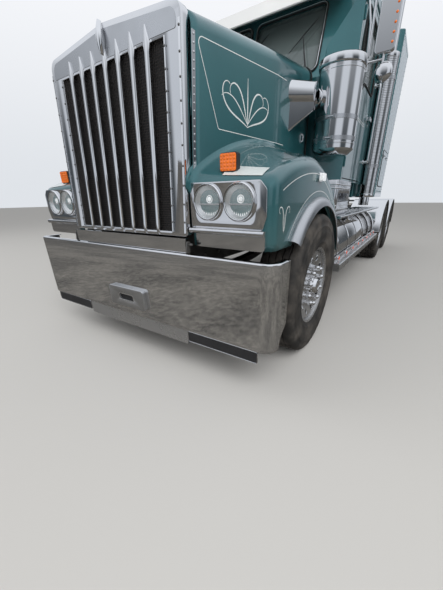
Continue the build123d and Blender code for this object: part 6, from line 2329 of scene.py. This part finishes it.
def makeSeats(setup):
    bases, pads, backs = Shape(), Shape(), Shape()
    for x in setup["xs"]:
        half, (y0, y1), (z0, z1) = setup["base"]
        bases.block((x - half, x + half), (back(y0), back(y1)), (z0 + 0.001, z0 + 0.030))
        ring = softRect(x - half + 0.03, x + half - 0.03, back(y0 + 0.03), back(y1 - 0.03), 0.04, 4)
        for k in range(6):
            z = z0 + 0.050 + k * (z1 - z0 - 0.080) / 5
            bases.tube([(a, b, z) for a, b in ring], 0.024, 8, closed=True)
        half, (y0, y1), (z0, z1) = setup["cushion"]
        cushion(pads, (x - half, x + half), (back(y0), back(y1)), (z0, z1), 0.30, 40, 4)
        half, (y0, y1), (z0, z1) = setup["back"]
        cushion(backs, (x - half, x + half), (back(y0), back(y1)), (z0, z1), 0.34, 40, 4)
        half, (y0, y1), (z0, z1) = setup["rest"]
        cushion(backs, (x - half, x + half), (back(y0), back(y1)), (z0, z1), 0.5)
    makePiece("seatBases", "chassis", "strapRubber", bases, sharp=50)
    makePiece("seatPads", "chassis", "cloth", pads, ("seats",), sharp=70)
    makePiece("seatBacks", "chassis", "cloth", backs, sharp=70)
    half, (y0, y1), (z0, z1) = setup["bunk"]
    makePiece("bunkBox", "chassis", "darkPlastic",
        Shape().block((-half, half), (back(y0), back(y1)), (z0, z1)), bevel=0.006)
    half, (y0, y1), (z0, z1) = setup["mattress"]
    makePiece("mattress", "chassis", "cloth",
        cushion(Shape(), (-half, half), (back(y0), back(y1)), (z0, z1), 0.22, 56, 6, 0.006), sharp=70)
    (x0, x1), (y0, y1), (z0, z1) = setup["pillow"]
    makePiece("pillow", "chassis", "cloth",
        cushion(Shape(), (x0, x1), (back(y0), back(y1)), (z0, z1), 0.6), sharp=70)


makeSeats(seatSetup)
print("seats made")

dashSetup = {
    "half": 0.638,
    "side": ((1.752, 1.752), (1.752, 2.048), (1.900, 2.048), (1.978, 1.985), (1.978, 1.790), (1.930, 1.752)),
    "wheel": (-0.450, 2.190, 2.000),
    "normal": (0, 0.5, 0.866),
    "rim": (0.215, 0.0145),
    "dials": (1.900, 0.036, 5),
}


def makeDash(setup):
    outline = roundedOutline(setup["side"], [0.01, 0.02, 0.03, 0.03, 0.02, 0.02], 5)
    half = setup["half"]
    shell = Shape().slab(outline, onSide, -half, half)
    makePiece("dashShell", "chassis", "darkPlastic", shell, ("dashboard",), bevel=0.006, segments=3)
    x, y, z = setup["wheel"]
    out = Vector(setup["normal"]).normalized()
    middle = Vector((x, back(y), z)) + out * 0.0125
    across = Vector((1, 0, 0))
    up = out.cross(across)
    size, thick = setup["rim"]
    wheel = Shape().tube([middle + across * (size * cos(a)) + up * (size * sin(a))
        for a in [tau * k / 48 for k in range(48)]], thick, 12, closed=True)
    for angle in (0, 180, 90):
        a = radians(angle)
        run = across * cos(a) + up * sin(a)
        wheel.tube([middle + run * 0.030 - out * 0.012, middle + run * 0.130 - out * 0.006,
            middle + run * size], [0.016, 0.012, 0.010], 10, flat=0.5)
    wheel.tube([middle - out * 0.020, middle - out * 0.010, middle + out * 0.008, middle + out * 0.012],
        [0.030, 0.052, 0.050, 0.030], 28)
    wheel.tube([middle - out * 0.020, middle - out * 0.330], 0.028, 20)
    makePiece("steeringWheel", "chassis", "strapRubber", wheel, sharp=40)
    z, size, count = setup["dials"]
    face = setup["side"][3][0]
    dial = Shape().spin([(0.0, size), (0.006, size), (0.009, size - 0.004), (0.004, size - 0.007),
        (0.004, 0)], 28, (x - 0.180, back(face), z), "Y")
    spread("dials", "chassis", "satinMetal", dial, count, (0.090, 0, 0), both=False)
    vents = Shape()
    for k in range(5):
        vents.block((-0.07, 0.07), (back(face), back(face + 0.004)), (1.870 + 0.018 * k, 1.878 + 0.018 * k))
    vents.block((0.20, 0.52), (back(face), back(face + 0.004)), (1.840, 1.950))
    makePiece("dashVents", "chassis", "satinMetal", vents, bevel=0.0012)


makeDash(dashSetup)
print("dashboard made")

# drive end: guards over the twin wheels, flaps, lamps, frame bolts and the eased castings
rearSetup = {
    "axles": (5.155, 6.525),
    "axleZ": 0.525,
    "guard": 0.578,
    "guardX": (0.620, 1.210),
    "guardEnd": 0.040,
    "flap": (0.640, 1.190, 7.096, 0.270, 0.640),
    "lampXs": (0.300, 0.520),
    "lamp": (0.180, 0.080, 0.850, 7.190),
    "boltPitch": 0.178,
    "boltRows": (0.765, 0.905),
}


def makeRear(setup):
    for node, bevel in (
        ("frame_rails", 0.002), ("cross_members", 0.004), ("tank_brackets", 0.003), ("tail_bar", 0.004),
        ("suspension", 0.004), ("engine", 0.012), ("driveline", 0.006), ("drive_axles", 0.005),
        ("front_axle", 0.005), ("fifth_wheel_base", 0.004), ("radiator", 0.006),
    ):
        softNode(node, "chassis", bevel)
    softNode("fifth_wheel_plate", "fifth_wheel", 0.004, 3)
    for side in ("left", "right"):
        softNode("knuckle_" + side, "knuckle_" + side, 0.003)

    size, (x0, x1), z = setup["guard"], setup["guardX"], setup["axleZ"]
    angle = acos(setup["guardEnd"] / size)
    first, second = (back(y) for y in setup["axles"])
    section = [
        (x0 + 0.002, size - 0.0025), (x0, size - 0.0055), (x0 + 0.0035, size - 0.008),
        (x0 + 0.008, size - 0.0045), (x0 + 0.009, size - 0.003), (x1 - 0.009, size - 0.003),
        (x1 - 0.008, size - 0.0045), (x1 - 0.0035, size - 0.008), (x1, size - 0.0055),
        (x1 - 0.002, size + 0.001), (x1 - 0.007, size + 0.0026), (x0 + 0.007, size + 0.0026),
        (x0 + 0.002, size + 0.001),
    ]
    guard = Shape().spin(section, 60, (0, first, z), "X", -angle, 2 * angle, closed=True)
    for end in (-1, 1):
        spot = (x0 + 0.004, first + end * size * sin(angle), z + size * cos(angle))
        guard.tube([spot, (x1 - 0.004, spot[1], spot[2])], 0.007, 10)
    spread("driveGuards", "chassis", "polishedMetal", guard, 2, (0, second - first, 0), sharp=45,
        hides=("rear_mudguards",))
    arm = Shape()
    top = z + size - 0.018
    arm.tube([(0.400, first, top), (0.900, first, top), (1.150, first, top)], 0.016, 14)
    arm.block((0.382, 0.4295), (first - 0.030, first + 0.030), (0.9705, top + 0.018))
    for x in (0.72, 1.06):
        arm.block((x - 0.02, x + 0.02), (first - 0.034, first + 0.034), (top + 0.006, top + 0.0155))
        arm.spin([(top + 0.0185, 0.010), (top + 0.0205, 0.009), (top + 0.0215, 0.0)], 10, (x, first, 0), "Z")
    spread("guardArms", "chassis", "chassisPaint", arm, 2, (0, second - first, 0))

    a0, a1, y, low, high = setup["flap"]
    flap = Shape().block((a0, a1), (back(y), back(y + 0.008)), (low, high))
    makePiece("mudflaps", "chassis", "strapRubber", flap.paired(), bevel=0.002)
    hanger = Shape().tube([(0.420, back(y + 0.004), high + 0.010), (a1, back(y + 0.004), high + 0.010)],
        0.013, 12)
    hanger.block((a0, a1), (back(y - 0.004), back(y + 0.012)), (high - 0.040, high - 0.004))
    hanger.block((a0, a1), (back(y - 0.0015), back(y + 0.0095)), (low + 0.010, low + 0.050))
    hanger.tube([(0.424, back(y + 0.004), high + 0.010), (0.424, back(y + 0.004), 0.800)], 0.013, 12)
    makePiece("flapHangers", "chassis", "polishedMetal", hanger.paired(), sharp=40)

    wide, tall, z, y = setup["lamp"]
    cases, lenses = Shape(), Shape()
    for x in setup["lampXs"]:
        for grow, shape, near, far in ((0.0, cases, y - 0.019, y - 0.006), (-0.006, lenses, y - 0.008, y)):
            a, b = wide / 2 + grow, tall / 2 + grow
            outline = softRect(x - a, x + a, z - b, z + b, 0.014 + grow, 5)
            shape.slab(outline, onFront, near, far)
    makePiece("tailCases", "chassis", "darkPlastic", cases.paired(), ("marker_lamps",), bevel=0.002)
    makePiece("tailLenses", "chassis", "redLens", lenses.paired(), bevel=0.003, segments=3)
    bolt = Shape().spin([(0.4305, 0.013), (0.4345, 0.013), (0.436, 0.0115), (0.4365, 0.006), (0.4385, 0.0055),
        (0.4385, 0)], 8, (0, back(0.42), setup["boltRows"][0]))
    rows = setup["boltRows"]
    spread("frameBolts", "chassis", "dullMetal", bolt, 37, (0, setup["boltPitch"], 0), 2,
        (0, 0, rows[1] - rows[0]), slot="frame_paint")


makeRear(rearSetup)
print("rear made")
